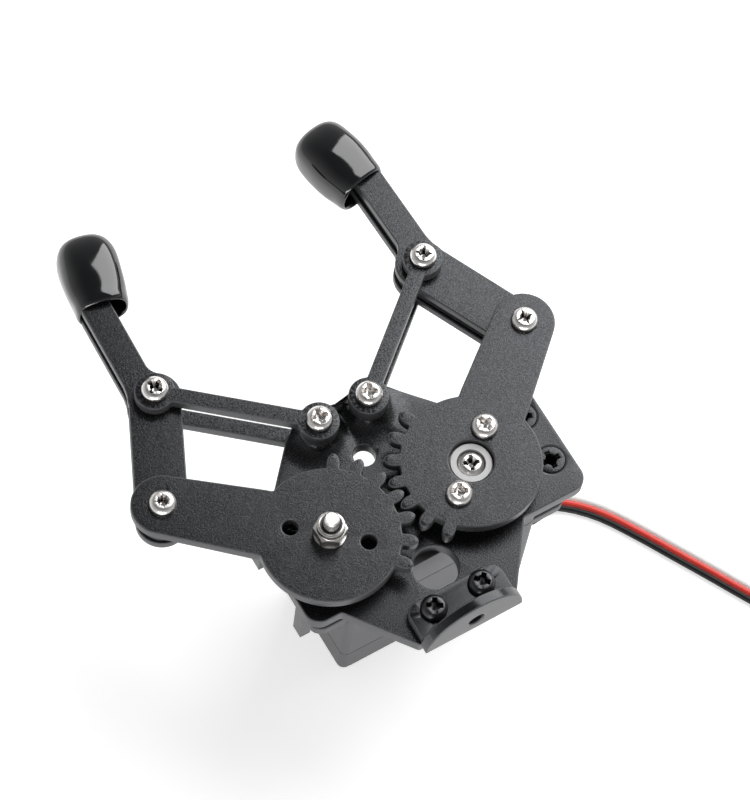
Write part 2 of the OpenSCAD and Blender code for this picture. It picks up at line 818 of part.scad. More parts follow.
// Stored coil: straight start, flat inward spiral, a tighter hook and a straight end
coil_dir = [cos(coil_heading), sin(coil_heading)];
coil_start = [lead_end[0], lead_end[1]] + lead_w * coil_dir;
coil_centre = coil_start + coil_r * [-coil_dir[1], coil_dir[0]];
coil_first_angle = coil_heading - 90;
coil_last_r = coil_r - coil_pitch * coil_turns;
coil_last_angle = coil_first_angle + 360 * coil_turns;
coil_count = coil_steps * coil_turns;
coil_turn_points = [
    for (i = [0 : coil_count])
        let (a = coil_first_angle + 360 * i / coil_steps, r = coil_r - coil_pitch * i / coil_steps)
        coil_centre + r * [cos(a), sin(a)]
];
hook_centre = coil_centre + (coil_last_r - hook_r) * [cos(coil_last_angle), sin(coil_last_angle)];
hook_points = [
    for (i = [1 : hook_steps])
        let (a = coil_last_angle + hook_angle * i / hook_steps)
        hook_centre + hook_r * [cos(a), sin(a)]
];
plug_heading = coil_last_angle + hook_angle + 90;
plug_dir = [cos(plug_heading), sin(plug_heading)];
plug_start = hook_points[hook_steps - 1] + lead_w * plug_dir;
coil_flat = concat([[lead_end[0], lead_end[1]]], coil_turn_points, hook_points, [plug_start]);
coil_path = [for (p = coil_flat) [p[0], p[1], lead_rest_z]];

// Least gap of the coil to itself, between points at least a third of a turn apart
coil_gap = min([
    for (i = [0 : len(coil_path) - 1], j = [0 : len(coil_path) - 1])
        if (j - i > coil_steps / 3) norm(coil_path[i] - coil_path[j]) - lead_w
]);
function path_length(path, i = 0) =
    i >= len(path) - 1 ? 0 : norm(path[i + 1] - path[i]) + path_length(path, i + 1);
echo(coil_least_gap = coil_gap);
echo(lead_length = path_length(lead_points) + path_length(coil_path));

module lead_grommet() {
    color(case_plastic) {
        translate([servo_right, -grommet_w / 2, lead_exit_z - grommet_h / 2])
            cube([grommet_out, grommet_w, grommet_h]);
        translate([servo_right - servo_wall, -lead_w / 2 - 0.45, lead_exit_z - lead_t / 2 - 0.45])
            cube([servo_wall + eps, lead_w + 0.9, lead_t + 0.9]);
    }
}

module servo_lead() {
    color(lead_red)
        swept_cord(lead_points, 8, [1, 0, 0], [coil_dir[0], coil_dir[1], 0]);
}

module servo_lead_coil() {
    color(lead_red)
        swept_cord(coil_path, 6, [coil_dir[0], coil_dir[1], 0], [plug_dir[0], plug_dir[1], 0]);
}

module lead_connector() {
    socket_x = plug_l - socket_depth;
    color(case_plastic)
        translate([plug_start[0], plug_start[1], 0])
            rotate(plug_heading)
                difference() {
                    translate([0, -plug_w / 2, 0])
                        cube([plug_l, plug_w, plug_h]);
                    for (k = [-1, 0, 1])
                        translate([socket_x, k * plug_w / 3 - socket_w / 2, (plug_h - socket_w) / 2])
                            cube([socket_depth + 1, socket_w, socket_w]);
                }
}

// ---------------------------------------------------------------- idler pivot and base link pivots

module idler_bolt() {
    color(bright_steel)
        translate([-gear_x, 0, plate_z + eps])
            mirror([0, 0, 1])
                flat_screw(idler_end - plate_z, false);
}

module idler_spacer() {
    color(white_nylon)
        translate([-gear_x, 0, plate_top])
            difference() {
                union() {
                    cylinder(r = idler_flange_r, h = arm_gap - slide_gap / 2);
                    cylinder(r = idler_neck_r, h = idler_neck_top - plate_top);
                }
                translate([0, 0, -1])
                    cylinder(r = screw_r + fit_gap, h = idler_neck_top);
            }
}

module idler_washer() {
    color(bright_steel)
        translate([-gear_x, 0, idler_neck_top])
            tube(idler_washer_r, screw_r + fit_gap, idler_washer_t);
}

module idler_lock_nut() {
    color(bright_steel)
        translate([-gear_x, 0, idler_neck_top + idler_washer_t])
            hex_nut(lock_nut_h);
}

link_stack = upper_link_top - lower_link_z + 2 * slide_gap;

module base_link_screws() {
    color(bright_steel)
        for (s = [RIGHT, LEFT])
            translate([s * link_base[0], link_base[1], upper_link_top + slide_gap])
                pan_screw(link_stack + nut_h + 0.5);
}

module base_link_nuts() {
    color(bright_steel)
        for (s = [RIGHT, LEFT])
            translate([s * link_base[0], link_base[1], lower_link_z - slide_gap - nut_h])
                hex_nut();
}

// ---------------------------------------------------------------- right-hand drive: output gear, horn, arm

module servo_output_gear() {
    z = train_z + 3 * train_step;
    color(brass)
        difference() {
            union() {
                train_gear(train_big, gear_x, z, 180);
                translate([gear_x, 0, z])
                    cylinder(r = shaft_r, h = servo_h + output_boss_h - z);
                translate([gear_x, 0, z])
                    cylinder(r = spline_r, h = horn_bore_top - 0.1 - z);
            }
            translate([gear_x, 0, z - 1])
                cylinder(r = pot_shaft_r + fit_gap, h = 2, $fn = 32);
            translate([gear_x, 0, horn_screw_seat - horn_screw_depth])
                cylinder(r = screw_r + fit_gap, h = horn_screw_depth + 1);
        }
}

module potentiometer_shaft() {
    foot_z = ear_top - middle_roof - pot_socket + 0.5;
    color(bright_steel)
        translate([gear_x, 0, foot_z])
            cylinder(r = pot_shaft_r, h = train_z + 3 * train_step + 0.9 - foot_z, $fn = 32);
}

function horn_screw_xy(k) =
    [gear_x + k * horn_hole_offset * arm_dir[0], k * horn_hole_offset * arm_dir[1], 0];

module servo_horn() {
    color(white_nylon)
        difference() {
            union() {
                translate([gear_x, 0, horn_z])
                    cylinder(r = horn_r, h = horn_t);
                translate([gear_x, 0, horn_z])
                    cylinder(r = horn_hub_r, h = horn_hub_top - horn_z);
            }
            translate([gear_x, 0, horn_z - 1])
                cylinder(r = spline_r + fit_gap, h = horn_bore_top - horn_z + 1);
            translate([gear_x, 0, horn_z])
                cylinder(r = screw_r + fit_gap, h = horn_hub_top - horn_z + 1);
            translate([gear_x, 0, horn_screw_seat])
                cylinder(r = pan_head_r + 0.2, h = 3);
            for (k = [-1, 1])
                translate(horn_screw_xy(k) + [0, 0, horn_z - 1])
                    cylinder(r = horn_hole_r - 0.1, h = horn_t + 2);
        }
}

module horn_centre_screw() {
    color(bright_steel)
        translate([gear_x, 0, horn_screw_seat])
            pan_screw(horn_screw_depth - 0.5);
}

module horn_screws() {
    color(bright_steel)
        for (k = [-1, 1])
            translate(horn_screw_xy(k) + [0, 0, arm_top])
                pan_screw(arm_t + horn_t - 0.2, horn_hole_r - 0.12);
}

// Arm and gear sector, drawn for a gear axis at the origin and an arm along +X
module arm_outline(first_tooth) {
    circle(gear_root_r);
    translate([arm_length, 0])
        circle(arm_end_r);
    polygon([
        [0, -arm_root_half_w], [gear_root_r, -arm_root_half_w], [arm_length, -arm_end_r],
        [arm_length, arm_end_r], [gear_root_r, arm_root_half_w], [0, arm_root_half_w]
    ]);
    for (k = [-1 : 2 / (teeth_kept - 1) : 1])
        rotate(first_tooth + k * (teeth_kept - 1) / 2 * 360 / gear_teeth)
            tooth(gear_teeth, gear_module, tooth_addendum, tooth_dedendum, tooth_share,
                tip_round = tooth_tip_round);
}

module drive_arm(x, angle, tooth_angle, centre_r) {
    color(black_plastic)
        translate([x, 0, arm_z])
            rotate(angle)
                difference() {
                    linear_extrude(arm_t)
                        arm_outline(tooth_angle - angle);
                    translate([0, 0, -1])
                        cylinder(r = centre_r, h = arm_t + 2);
                    translate([arm_length, 0, -1])
                        cylinder(r = screw_r + fit_gap, h = arm_t + 2);
                    for (k = [-1, 1])
                        translate([k * horn_hole_offset, 0, -1])
                            cylinder(r = horn_hole_r, h = arm_t + 2);
                }
}

module right_drive_arm() {
    drive_arm(gear_x, arm_rest_angle, right_tooth_angle, arm_hub_hole_r);
}

module left_drive_arm() {
    drive_arm(-gear_x, 180 - arm_rest_angle, left_tooth_angle, idler_neck_r + turn_gap);
}

module arm_screw(side) {
    color(bright_steel)
        on_side(side)
            translate([arm_pivot[0], arm_pivot[1], arm_top])
                pan_screw(arm_top - finger_z + slide_gap + nut_h + 0.5);
}

module arm_nut(side) {
    color(bright_steel)
        on_side(side)
            translate([arm_pivot[0], arm_pivot[1], finger_z - slide_gap - nut_h])
                hex_nut();
}

// ---------------------------------------------------------------- fingers, caps and links

// Filling between the finger's tip and its body, up to an arc of radius r about the centre. The
// arc reaches the tip in direction a and the body in direction b, and bites a little into both,
// so that it crosses their edges cleanly.
module fillet(centre, a, b, r, tip_half) {
    difference() {
        polygon([finger_vec, centre + (r + tip_half) * a, centre, centre + r * b]);
        translate(centre)
            circle(r + fillet_bite, $fn = 180);
    }
}

// Outline of the right-hand finger about its arm pivot, drawn in by inset
module finger_outline(inset) {
    half = finger_body_w / 2 - inset;
    tip_half = finger_tip_w / 2 - inset;
    circle(finger_end_r - inset);
    translate(finger_vec)
        circle(finger_lobe_r - inset);
    polygon([
        -half * body_side, half * body_side,
        finger_vec + half * body_side, finger_vec - half * body_side
    ]);
    polygon([
        tip_start + tip_half * tip_side, tip_end + tip_half * tip_side - inset * tip_dir,
        tip_end - tip_half * tip_side - inset * tip_dir, tip_start - tip_half * tip_side
    ]);
    fillet(outer_fillet, -tip_side, -body_side, outer_fillet_r + inset, tip_half);
    fillet(inner_fillet, tip_side, unit(finger_vec - inner_fillet), inner_fillet_r + inset, tip_half);
}

module finger_body() {
    linear_extrude(groove_rim)
        finger_outline(0);
    linear_extrude(finger_t)
        finger_outline(groove_depth);
    translate([0, 0, finger_t - groove_rim])
        linear_extrude(groove_rim)
            finger_outline(0);
}

module finger(side) {
    color(black_plastic)
        on_side(side)
            translate([arm_pivot[0], arm_pivot[1], finger_z])
                difference() {
                    finger_body();
                    translate([0, 0, -1])
                        cylinder(r = screw_r + turn_gap, h = finger_t + 2);
                    translate([finger_vec[0], finger_vec[1], -1])
                        cylinder(r = screw_r + fit_gap, h = finger_t + 2);
                }
}

// Dipped vinyl cap about the middle of its mouth: a squarish bulb with a drawn-in mouth
module cap_skin() {
    corner = cap_w / 2 - cap_corner_r;
    hull() {
        for (x = [-corner, corner])
            translate([x, cap_length - cap_corner_r, 0])
                scale([1, 1, cap_t * 0.9 / (2 * cap_corner_r)])
                    sphere(r = cap_corner_r, $fn = 24);
        translate([0, cap_length * 0.45, 0])
            rotate([-90, 0, 0])
                scale([cap_w, cap_t, 1])
                    cylinder(d = 1, h = cap_length * 0.2, $fn = 32);
        rotate([-90, 0, 0])
            cylinder(r = cap_mouth_r, h = 0.6, $fn = 32);
    }
}

module fingertip_cap(side) {
    color(gloss_vinyl)
        on_side(side)
            translate([arm_pivot[0], arm_pivot[1], finger_z])
                difference() {
                    translate([cap_mouth[0], cap_mouth[1], finger_t / 2])
                        rotate(cap_lean)
                            difference() {
                                cap_skin();
                                rotate([-90, 0, 0])
                                    translate([0, 0, -eps])
                                        cylinder(r1 = cap_mouth_r - cap_wall, r2 = cap_hollow_end_r,
                                            h = cap_hollow_depth, $fn = 32);
                            }
                    translate([0, 0, -eps])
                        linear_extrude(finger_t + 2 * eps)
                            finger_outline(-fit_gap);
                }
}

module link_screw(side) {
    color(bright_steel)
        on_side(side)
            translate([link_pivot[0], link_pivot[1], upper_link_top + slide_gap])
                pan_screw(link_stack + nut_h + 0.5);
}

module link_nut(side) {
    color(bright_steel)
        on_side(side)
            translate([link_pivot[0], link_pivot[1], lower_link_z - slide_gap - nut_h])
                hex_nut();
}

module link(side, z) {
    color(black_plastic)
        on_side(side)
            translate([link_base[0], link_base[1], z])
                rotate(arm_rest_angle)
                    difference() {
                        union() {
                            for (x = [0, arm_length])
                                translate([x, 0, 0])
                                    cylinder(r = link_eye_r, h = link_t);
                            translate([0, -link_w / 2, 0])
                                cube([arm_length, link_w, link_t]);
                        }
                        for (x = [0, arm_length])
                            translate([x, 0, -1])
                                cylinder(r = screw_r + turn_gap, h = link_t + 2);
                    }
}

// ---------------------------------------------------------------- servo gear train

module compound_gear(x, z, big_phase, small_phase, bore_r) {
    color(white_nylon)
        difference() {
            union() {
                train_gear(train_big, x, z, big_phase);
                translate([x, 0, z + train_face - eps])
                    cylinder(r = train_module * (train_small / 2 - train_dedendum), h = slide_gap + 2 * eps);
                train_gear(train_small, x, z + train_step, small_phase);
            }
            translate([x, 0, z - 1])
                cylinder(r = bore_r, h = 2 * train_step + 2, $fn = 32);
        }
}

module motor_pinion() {
    roof = ear_top - middle_roof;
    color(brass) {
        translate([train_x[2], 0, roof - 2])
            cylinder(r = motor_shaft_r, h = train_z + train_face - roof + 2, $fn = 32);
        train_gear(train_small, train_x[2], train_z, train_small_phase);
    }
}

module servo_gear_1() {
    compound_gear(train_x[1], train_z, 180, train_small_phase, gear_pin_r + turn_gap);
}

module servo_gear_2() {
    compound_gear(train_x[0], train_z + train_step, 180, 180 + train_small_phase, pot_shaft_r + turn_gap);
}

module servo_gear_3() {
    compound_gear(train_x[1], train_z + 2 * train_step, 0, train_small_phase, gear_pin_r + turn_gap);
}

// ---------------------------------------------------------------- nodes

base_plate();
rear_bracket();
bracket_screws();
bracket_nuts();
servo_mount_screws();
servo_mount_nuts();
servo_bottom_cover();
servo_middle_case();
servo_top_cover();
servo_case_screws();
servo_motor();
servo_circuit_board();
servo_potentiometer();
servo_gear_pin();
servo_output_bush();
lead_grommet();
servo_lead();
servo_lead_coil();
lead_connector();
idler_bolt();
idler_spacer();
idler_washer();
idler_lock_nut();
base_link_screws();
base_link_nuts();
servo_output_gear();
potentiometer_shaft();
servo_horn();
horn_centre_screw();
horn_screws();
right_drive_arm();
arm_screw(RIGHT);  // right_arm_screw
arm_nut(RIGHT);  // right_arm_nut
left_drive_arm();
arm_screw(LEFT);  // left_arm_screw
arm_nut(LEFT);  // left_arm_nut
finger(RIGHT);  // right_finger
fingertip_cap(RIGHT);  // right_fingertip_cap
link_screw(RIGHT);  // right_link_screw
link_nut(RIGHT);  // right_link_nut
finger(LEFT);  // left_finger
fingertip_cap(LEFT);  // left_fingertip_cap
link_screw(LEFT);  // left_link_screw
link_nut(LEFT);  // left_link_nut
link(RIGHT, upper_link_z);  // right_upper_link
link(RIGHT, lower_link_z);  // right_lower_link
link(LEFT, upper_link_z);  // left_upper_link
link(LEFT, lower_link_z);  // left_lower_link
motor_pinion();
servo_gear_1();
servo_gear_2();
servo_gear_3();
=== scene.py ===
# %% [markdown]
# # A two-finger gripper
#
# Two gear sectors mesh over a flat base plate. A servo under the plate turns one of them, the
# other follows, and each carries a finger. A link bar above and one below keep every finger
# parallel as it swings in. The load-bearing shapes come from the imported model, and this file
# dresses them: moulded plastic gets its soft edges, screws their recesses and threads, the
# fingertips their dipped caps, and the servo its three-wire lead.

import math

import bmesh
import bpy
from mathutils import Matrix, Vector, noise
from mathutils.bvhtree import BVHTree


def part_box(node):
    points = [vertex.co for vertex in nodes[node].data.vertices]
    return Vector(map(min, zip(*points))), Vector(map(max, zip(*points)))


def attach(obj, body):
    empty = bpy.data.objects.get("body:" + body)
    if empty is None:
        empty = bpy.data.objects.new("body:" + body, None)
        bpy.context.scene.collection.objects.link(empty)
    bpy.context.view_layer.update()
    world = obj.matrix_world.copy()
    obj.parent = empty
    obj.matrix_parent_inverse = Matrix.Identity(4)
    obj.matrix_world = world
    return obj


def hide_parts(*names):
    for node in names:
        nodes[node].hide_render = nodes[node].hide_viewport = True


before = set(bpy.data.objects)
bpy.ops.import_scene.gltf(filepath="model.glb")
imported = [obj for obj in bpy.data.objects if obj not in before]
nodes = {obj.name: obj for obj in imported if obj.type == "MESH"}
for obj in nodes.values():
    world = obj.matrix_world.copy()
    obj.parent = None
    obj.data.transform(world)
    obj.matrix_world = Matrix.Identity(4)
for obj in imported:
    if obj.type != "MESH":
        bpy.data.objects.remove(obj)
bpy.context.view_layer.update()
MM = 0.001

# %% [markdown]
# ## The camera
#
# The view looks down on the plate from behind and from the left, with a long lens from about
# two thirds of a metre. A camera is easiest to place by what it looks at: a point on the plate,
# two angles, a distance and a roll. Its axes are built from those, so nothing is left to guess.

# %% Camera
VIEW_POINT = Vector((7.40, 21.02, 40.0)) * MM
VIEW_AZIMUTH = math.radians(230.80)
VIEW_ELEVATION = math.radians(64.55)
VIEW_ROLL = math.radians(9.44)
VIEW_DISTANCE = 650.8 * MM
SENSOR_WIDTH = 36.0
LENS_TO_SENSOR = 3523.7 / 750


def camera_axes(azimuth, elevation, roll):
    """Right, up and backward axes of a camera that looks at its point from these angles."""
    level = math.cos(elevation)
    back = Vector((level * math.cos(azimuth), level * math.sin(azimuth), math.sin(elevation)))
    level_right = (-back).cross(Vector((0, 0, 1))).normalized()
    level_up = level_right.cross(-back)
    right = math.cos(roll) * level_right + math.sin(roll) * level_up
    up = -math.sin(roll) * level_right + math.cos(roll) * level_up
    return right, up, back


right, up, back = camera_axes(VIEW_AZIMUTH, VIEW_ELEVATION, VIEW_ROLL)
turn = Matrix((right, up, back)).transposed().to_4x4()
camera_data = bpy.data.cameras.new("studio_camera")
camera_data.sensor_fit = "HORIZONTAL"
camera_data.sensor_width = SENSOR_WIDTH
camera_data.lens = LENS_TO_SENSOR * SENSOR_WIDTH
camera_data.clip_start = 0.01
camera = bpy.data.objects.new("studio_camera", camera_data)
camera.matrix_world = Matrix.Translation(VIEW_POINT + VIEW_DISTANCE * back) @ turn
bpy.context.scene.collection.objects.link(camera)
bpy.context.scene.camera = camera
print("camera at", [round(v, 4) for v in camera.matrix_world.translation], "lens", round(camera_data.lens, 1))

# %% [markdown]
# ## Building blocks for materials
#
# Every finish here is a Principled shader fed by small node chains. Two short helpers make a
# node and join two sockets, so each material cell reads as a list of what the finish is made of.
# Fine grain is noise that drives a Bump node, and a shader group holds a chain that several
# finishes share.

# %% Material helpers


def add_node(tree, kind, inputs=None, **settings):
    """A new node of one kind, with settings as attributes and inputs by socket name."""
    node = tree.nodes.new(kind)
    for key, value in settings.items():
        setattr(node, key, value)
    for key, value in (inputs or {}).items():
        node.inputs[key].default_value = value
    return node


def new_finish(name, colour, roughness, **sockets):
    """A material with one Principled shader; returns (material, tree, shader)."""
    material = bpy.data.materials.new(name)
    material.use_nodes = True
    tree = material.node_tree
    shader = tree.nodes["Principled BSDF"]
    shader.inputs["Base Color"].default_value = (*colour, 1)
    shader.inputs["Roughness"].default_value = roughness
    for key, value in sockets.items():
        shader.inputs[key.replace("_", " ")].default_value = value
    material.diffuse_color = (*colour, 1)
    return material, tree, shader


def join(tree, source, output, target, socket):
    """Joins a named output to a named input."""
    tree.links.new(source.outputs[output], target.inputs[socket])


print("material helpers ready")

# %% [markdown]
# ### Grain
#
# The moulded plastic has a spark-eroded texture: tiny pits and grains a few tenths of a
# millimetre across, each catching the light a little differently. One noise at that scale lifts
# and lowers the surface and makes its high grains paler, rougher and shinier, and a slow one
# clouds the tone so that no large face is perfectly even. The chain is a shader group with named
# inputs, because the plate, the arms, the links and the servo use it with different strengths.

# %% Grain group
CLOUD_SCALE = 90.0
DARKEST_TONE = 0.15


def make_grain_group():
    """Group: Scale, Contrast and Clouding in; Tone (a multiplier about 1) and Height out."""
    group = bpy.data.node_groups.new("moulded_grain", "ShaderNodeTree")
    for name, value in (("Scale", 2600.0), ("Contrast", 0.5), ("Clouding", 0.2)):
        socket = group.interface.new_socket(name, in_out="INPUT", socket_type="NodeSocketFloat")
        socket.default_value = value
    for name in ("Tone", "Height"):
        group.interface.new_socket(name, in_out="OUTPUT", socket_type="NodeSocketFloat")
    inputs = group.nodes.new("NodeGroupInput")
    outputs = group.nodes.new("NodeGroupOutput")
    place = add_node(group, "ShaderNodeTexCoord")
    grain = add_node(group, "ShaderNodeTexNoise", {"Detail": 1.0, "Roughness": 0.5})
    clouds = add_node(group, "ShaderNodeTexNoise", {"Scale": CLOUD_SCALE, "Detail": 2.0})
    join(group, place, "Object", grain, "Vector")
    join(group, place, "Object", clouds, "Vector")
    join(group, inputs, "Scale", grain, "Scale")

    def centred(source, strength):
        """(value - 0.5) * strength"""
        shift = add_node(group, "ShaderNodeMath", operation="SUBTRACT")
        shift.inputs[1].default_value = 0.5
        scale = add_node(group, "ShaderNodeMath", operation="MULTIPLY")
        group.links.new(source.outputs["Fac"], shift.inputs[0])
        group.links.new(shift.outputs[0], scale.inputs[0])
        group.links.new(inputs.outputs[strength], scale.inputs[1])
        return scale

    grains = centred(grain, "Contrast")
    patches = centred(clouds, "Clouding")
    both = add_node(group, "ShaderNodeMath", operation="ADD")
    tone = add_node(group, "ShaderNodeMath", operation="ADD")
    tone.inputs[1].default_value = 1.0
    group.links.new(grains.outputs[0], both.inputs[0])
    group.links.new(patches.outputs[0], both.inputs[1])
    group.links.new(both.outputs[0], tone.inputs[0])
    floor_tone = add_node(group, "ShaderNodeMath", operation="MAXIMUM")
    floor_tone.inputs[1].default_value = DARKEST_TONE
    group.links.new(tone.outputs[0], floor_tone.inputs[0])
    group.links.new(floor_tone.outputs[0], outputs.inputs["Tone"])
    group.links.new(grain.outputs["Fac"], outputs.inputs["Height"])
    return group


moulded_grain = make_grain_group()
print("grain group sockets:", [s.name for s in moulded_grain.interface.items_tree])

# %% Moulded plastic
COOL_SHEEN = (0.93, 0.95, 1.0, 1.0)
PLAIN_SHINE = 0.5
GRAIN_HEIGHT = 0.0001


def moulded_plastic(name, colour, roughness, scale, contrast, clouding, bump, spread, glint=0.0):
    """Black plastic whose tone, roughness, shine and relief follow the grain group.

    Spread is how far the roughness varies with the grain's height, and glint how far its shine does.
    """
    material, tree, shader = new_finish(name, colour, roughness, Specular_Tint=COOL_SHEEN)
    grain = add_node(tree, "ShaderNodeGroup", node_tree=moulded_grain)
    for key, value in (("Scale", scale), ("Contrast", contrast), ("Clouding", clouding)):
        grain.inputs[key].default_value = value
    tint = add_node(tree, "ShaderNodeMixRGB", {"Fac": 1.0, "Color1": (*colour, 1)}, blend_type="MULTIPLY")
    join(tree, grain, "Tone", tint, "Color2")
    join(tree, tint, "Color", shader, "Base Color")
    rough = add_node(tree, "ShaderNodeMapRange", {"To Min": roughness - spread, "To Max": roughness + spread})
    join(tree, grain, "Height", rough, "Value")
    join(tree, rough, "Result", shader, "Roughness")
    gloss = add_node(
        tree,
        "ShaderNodeMapRange",
        {"From Min": 0.3, "From Max": 0.7, "To Min": PLAIN_SHINE - glint, "To Max": PLAIN_SHINE + glint},
    )
    join(tree, grain, "Height", gloss, "Value")
    join(tree, gloss, "Result", shader, "Specular IOR Level")
    relief = add_node(tree, "ShaderNodeBump", {"Strength": bump, "Distance": GRAIN_HEIGHT})
    join(tree, grain, "Height", relief, "Height")
    join(tree, relief, "Normal", shader, "Normal")
    return material


# Each row gives colour, roughness, grain scale, contrast, clouding, relief, spread and, if the
# shine varies too, glint.
grained_black = moulded_plastic("grained_black", (0.0095, 0.0097, 0.0103), 0.265, 4300, 3.6, 0.6, 0.32, 0.04, 0.17)
satin_black = moulded_plastic("satin_black", (0.008, 0.0082, 0.0088), 0.2, 4300, 2.0, 0.4, 0.06, 0.03, 0.05)
# The edge finish is a painted highlight: many times paler than the faces, it draws the bright line along rounded
# edges. The wall finish is painted light: it makes upright walls paler than the tops they join.
edge_black = moulded_plastic("edge_black", (0.075, 0.075, 0.078), 0.34, 3200, 1.2, 0.3, 0.15, 0.06)
wall_black = moulded_plastic("wall_black", (0.06, 0.06, 0.062), 0.38, 4200, 1.6, 0.4, 0.15, 0.06)
link_black = moulded_plastic("link_black", (0.0095, 0.0097, 0.0103), 0.285, 3600, 6.0, 0.6, 0.4, 0.05, 0.25)
case_black = moulded_plastic("case_black", (0.085, 0.085, 0.088), 0.46, 5200, 0.8, 0.3, 0.15, 0.08)
plastics = (grained_black, satin_black, edge_black, wall_black, link_black, case_black)
print("plastics:", [m.name for m in plastics])

# %% [markdown]
# ### Metals, nylon and vinyl
#
# Bright plated steel is mostly what it reflects, so its own colour is plain and its roughness
# drifts a little from place to place. Nylon is pale and satin. The vinyl caps are dipped: thick,
# very glossy, and a little wavy, which breaks up their highlights.

# %% Metal finishes
MARK_HEIGHT = 0.00005


def metal_finish(name, colour, roughness, scale, relief):
    """Metal with noise in its roughness and relief, as plating over turned stock has."""
    material, tree, shader = new_finish(name, colour, roughness, Metallic=1.0)
    place = add_node(tree, "ShaderNodeTexCoord")
    drift = add_node(tree, "ShaderNodeTexNoise", {"Scale": scale, "Detail": 3.0})
    join(tree, place, "Object", drift, "Vector")
    rough = add_node(tree, "ShaderNodeMapRange", {"To Min": roughness * 0.6, "To Max": roughness * 1.5})
    join(tree, drift, "Fac", rough, "Value")
    join(tree, rough, "Result", shader, "Roughness")
    bump = add_node(tree, "ShaderNodeBump", {"Strength": relief, "Distance": MARK_HEIGHT})
    join(tree, drift, "Fac", bump, "Height")
    join(tree, bump, "Normal", shader, "Normal")
    return material


plated_steel = metal_finish("plated_steel", (0.78, 0.755, 0.735), 0.27, 350.0, 0.0)
blackened_steel = metal_finish("blackened_steel", (0.075, 0.075, 0.078), 0.34, 1800.0, 0.05)
machined_brass = metal_finish("machined_brass", (0.78, 0.60, 0.27), 0.25, 1500.0, 0.15)
gold_plate = metal_finish("gold_plate", (0.90, 0.70, 0.32), 0.2, 1500.0, 0.1)
metals = (plated_steel, blackened_steel, machined_brass, gold_plate)
print("metals:", [m.name for m in metals])

# %% Nylon, vinyl and wire
WAVE_HEIGHT = 0.0002


def soft_finish(name, colour, roughness, scale, tone, relief, **sockets):
    """A smooth material whose colour drifts a little and whose skin waves slightly."""
    material, tree, shader = new_finish(name, colour, roughness, **sockets)
    place = add_node(tree, "ShaderNodeTexCoord")
    waves = add_node(tree, "ShaderNodeTexNoise", {"Scale": scale, "Detail": 2.0})
    join(tree, place, "Object", waves, "Vector")
    shade = add_node(tree, "ShaderNodeMapRange", {"To Min": 1.0 - tone, "To Max": 1.0 + tone})
    tint = add_node(tree, "ShaderNodeMixRGB", {"Fac": 1.0, "Color1": (*colour, 1)}, blend_type="MULTIPLY")
    join(tree, waves, "Fac", shade, "Value")
    join(tree, shade, "Result", tint, "Color2")
    join(tree, tint, "Color", shader, "Base Color")
    bump = add_node(tree, "ShaderNodeBump", {"Strength": relief, "Distance": WAVE_HEIGHT})
    join(tree, waves, "Fac", bump, "Height")
    join(tree, bump, "Normal", shader, "Normal")
    return material


white_nylon = soft_finish("white_nylon", (0.86, 0.86, 0.84), 0.4, 900.0, 0.04, 0.05)
dipped_vinyl = soft_finish("dipped_vinyl", (0.005, 0.0055, 0.0065), 0.09, 170.0, 0.2, 0.3, Specular_IOR_Level=0.8)
horn_nylon = soft_finish("horn_nylon", (0.62, 0.62, 0.62), 0.4, 900.0, 0.04, 0.05)
wire_black = soft_finish("wire_black", (0.006, 0.006, 0.007), 0.45, 700.0, 0.2, 0.05, Specular_IOR_Level=0.25)
wire_red = soft_finish("wire_red", (0.72, 0.045, 0.03), 0.36, 700.0, 0.1, 0.05)
wire_white = soft_finish("wire_white", (0.86, 0.86, 0.84), 0.38, 700.0, 0.04, 0.05)
board_green = soft_finish("board_green", (0.02, 0.16, 0.07), 0.35, 1200.0, 0.15, 0.05)
soft_finishes = (white_nylon, horn_nylon, dipped_vinyl, wire_black, wire_red, wire_white, board_green)
print("soft finishes:", [m.name for m in soft_finishes])

# %% [markdown]
# ## Helpers for pieces
#
# A finished piece's object stays at the origin, with its place in its mesh, exactly as the
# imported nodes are. One helper turns a bmesh into such an object, and one turns an object's
# modifiers into plain mesh. Smooth shading with sharp edges by angle suits machine parts,
# because flat faces stay flat and round ones look round.

# %% Piece helpers


def piece_from_bmesh(name, shape, materials, sharp_degrees=35):
    """A new object from a bmesh, smooth shaded but sharp where faces meet steeply."""
    mesh = bpy.data.meshes.new(name)
    shape.to_mesh(mesh)
    shape.free()
    for material in materials:
        mesh.materials.append(material)
    mesh.shade_smooth()
    mesh.set_sharp_from_angle(angle=math.radians(sharp_degrees))
    piece = bpy.data.objects.new(name, mesh)
    bpy.context.scene.collection.objects.link(piece)
    return piece


def applied(piece):
    """Turns a piece's modifiers into plain mesh and drops them."""
    depsgraph = bpy.context.evaluated_depsgraph_get()
    mesh = bpy.data.meshes.new_from_object(piece.evaluated_get(depsgraph))
    old = piece.data
    piece.modifiers.clear()
    piece.data = mesh
    mesh.name = old.name
    bpy.data.meshes.remove(old)


print("piece helpers ready")

# %% [markdown]
# ## The servo lead
#
# A servo lead is a flat ribbon of three round wires moulded side by side: black, red and white.
# Black lies on the inside of the first bend, and so on the outside of the coil, which turns the
# other way. The lead leaves the grommet, drops to the table, runs off in a lazy curve, and the
# rest of its length is stored as a flat coil that ends in the connector. The route is a list of
# points in millimetres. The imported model's solid follows the same list, so this mesh lies where
# the model's does.

# %% Lead route
LEAD_WIDTH = 3.9
LEAD_THICKNESS = 1.3
LEAD_POINTS = [
    (27, 0, 4.2), (31, 0.5, 3.8), (36, 0.8, 1.6), (40.8, -1.6, 0.65), (45.8, -6.8, 0.65),
    (50.2, -13.8, 0.65), (54, -20.6, 0.65), (57.8, -27.4, 0.65), (61.6, -34.4, 0.65),
    (66, -42, 0.65), (71, -49, 0.65), (73.4, -52.2, 0.65),
]  # fmt: skip
LAST_STEP = (2.4, -3.2)
COIL_RADIUS = 23.0
COIL_PITCH = 4.5
COIL_TURNS = 1.5
COIL_STEPS = 24
HOOK_RADIUS = 8.5
HOOK_ANGLE = 105
HOOK_STEPS = 7


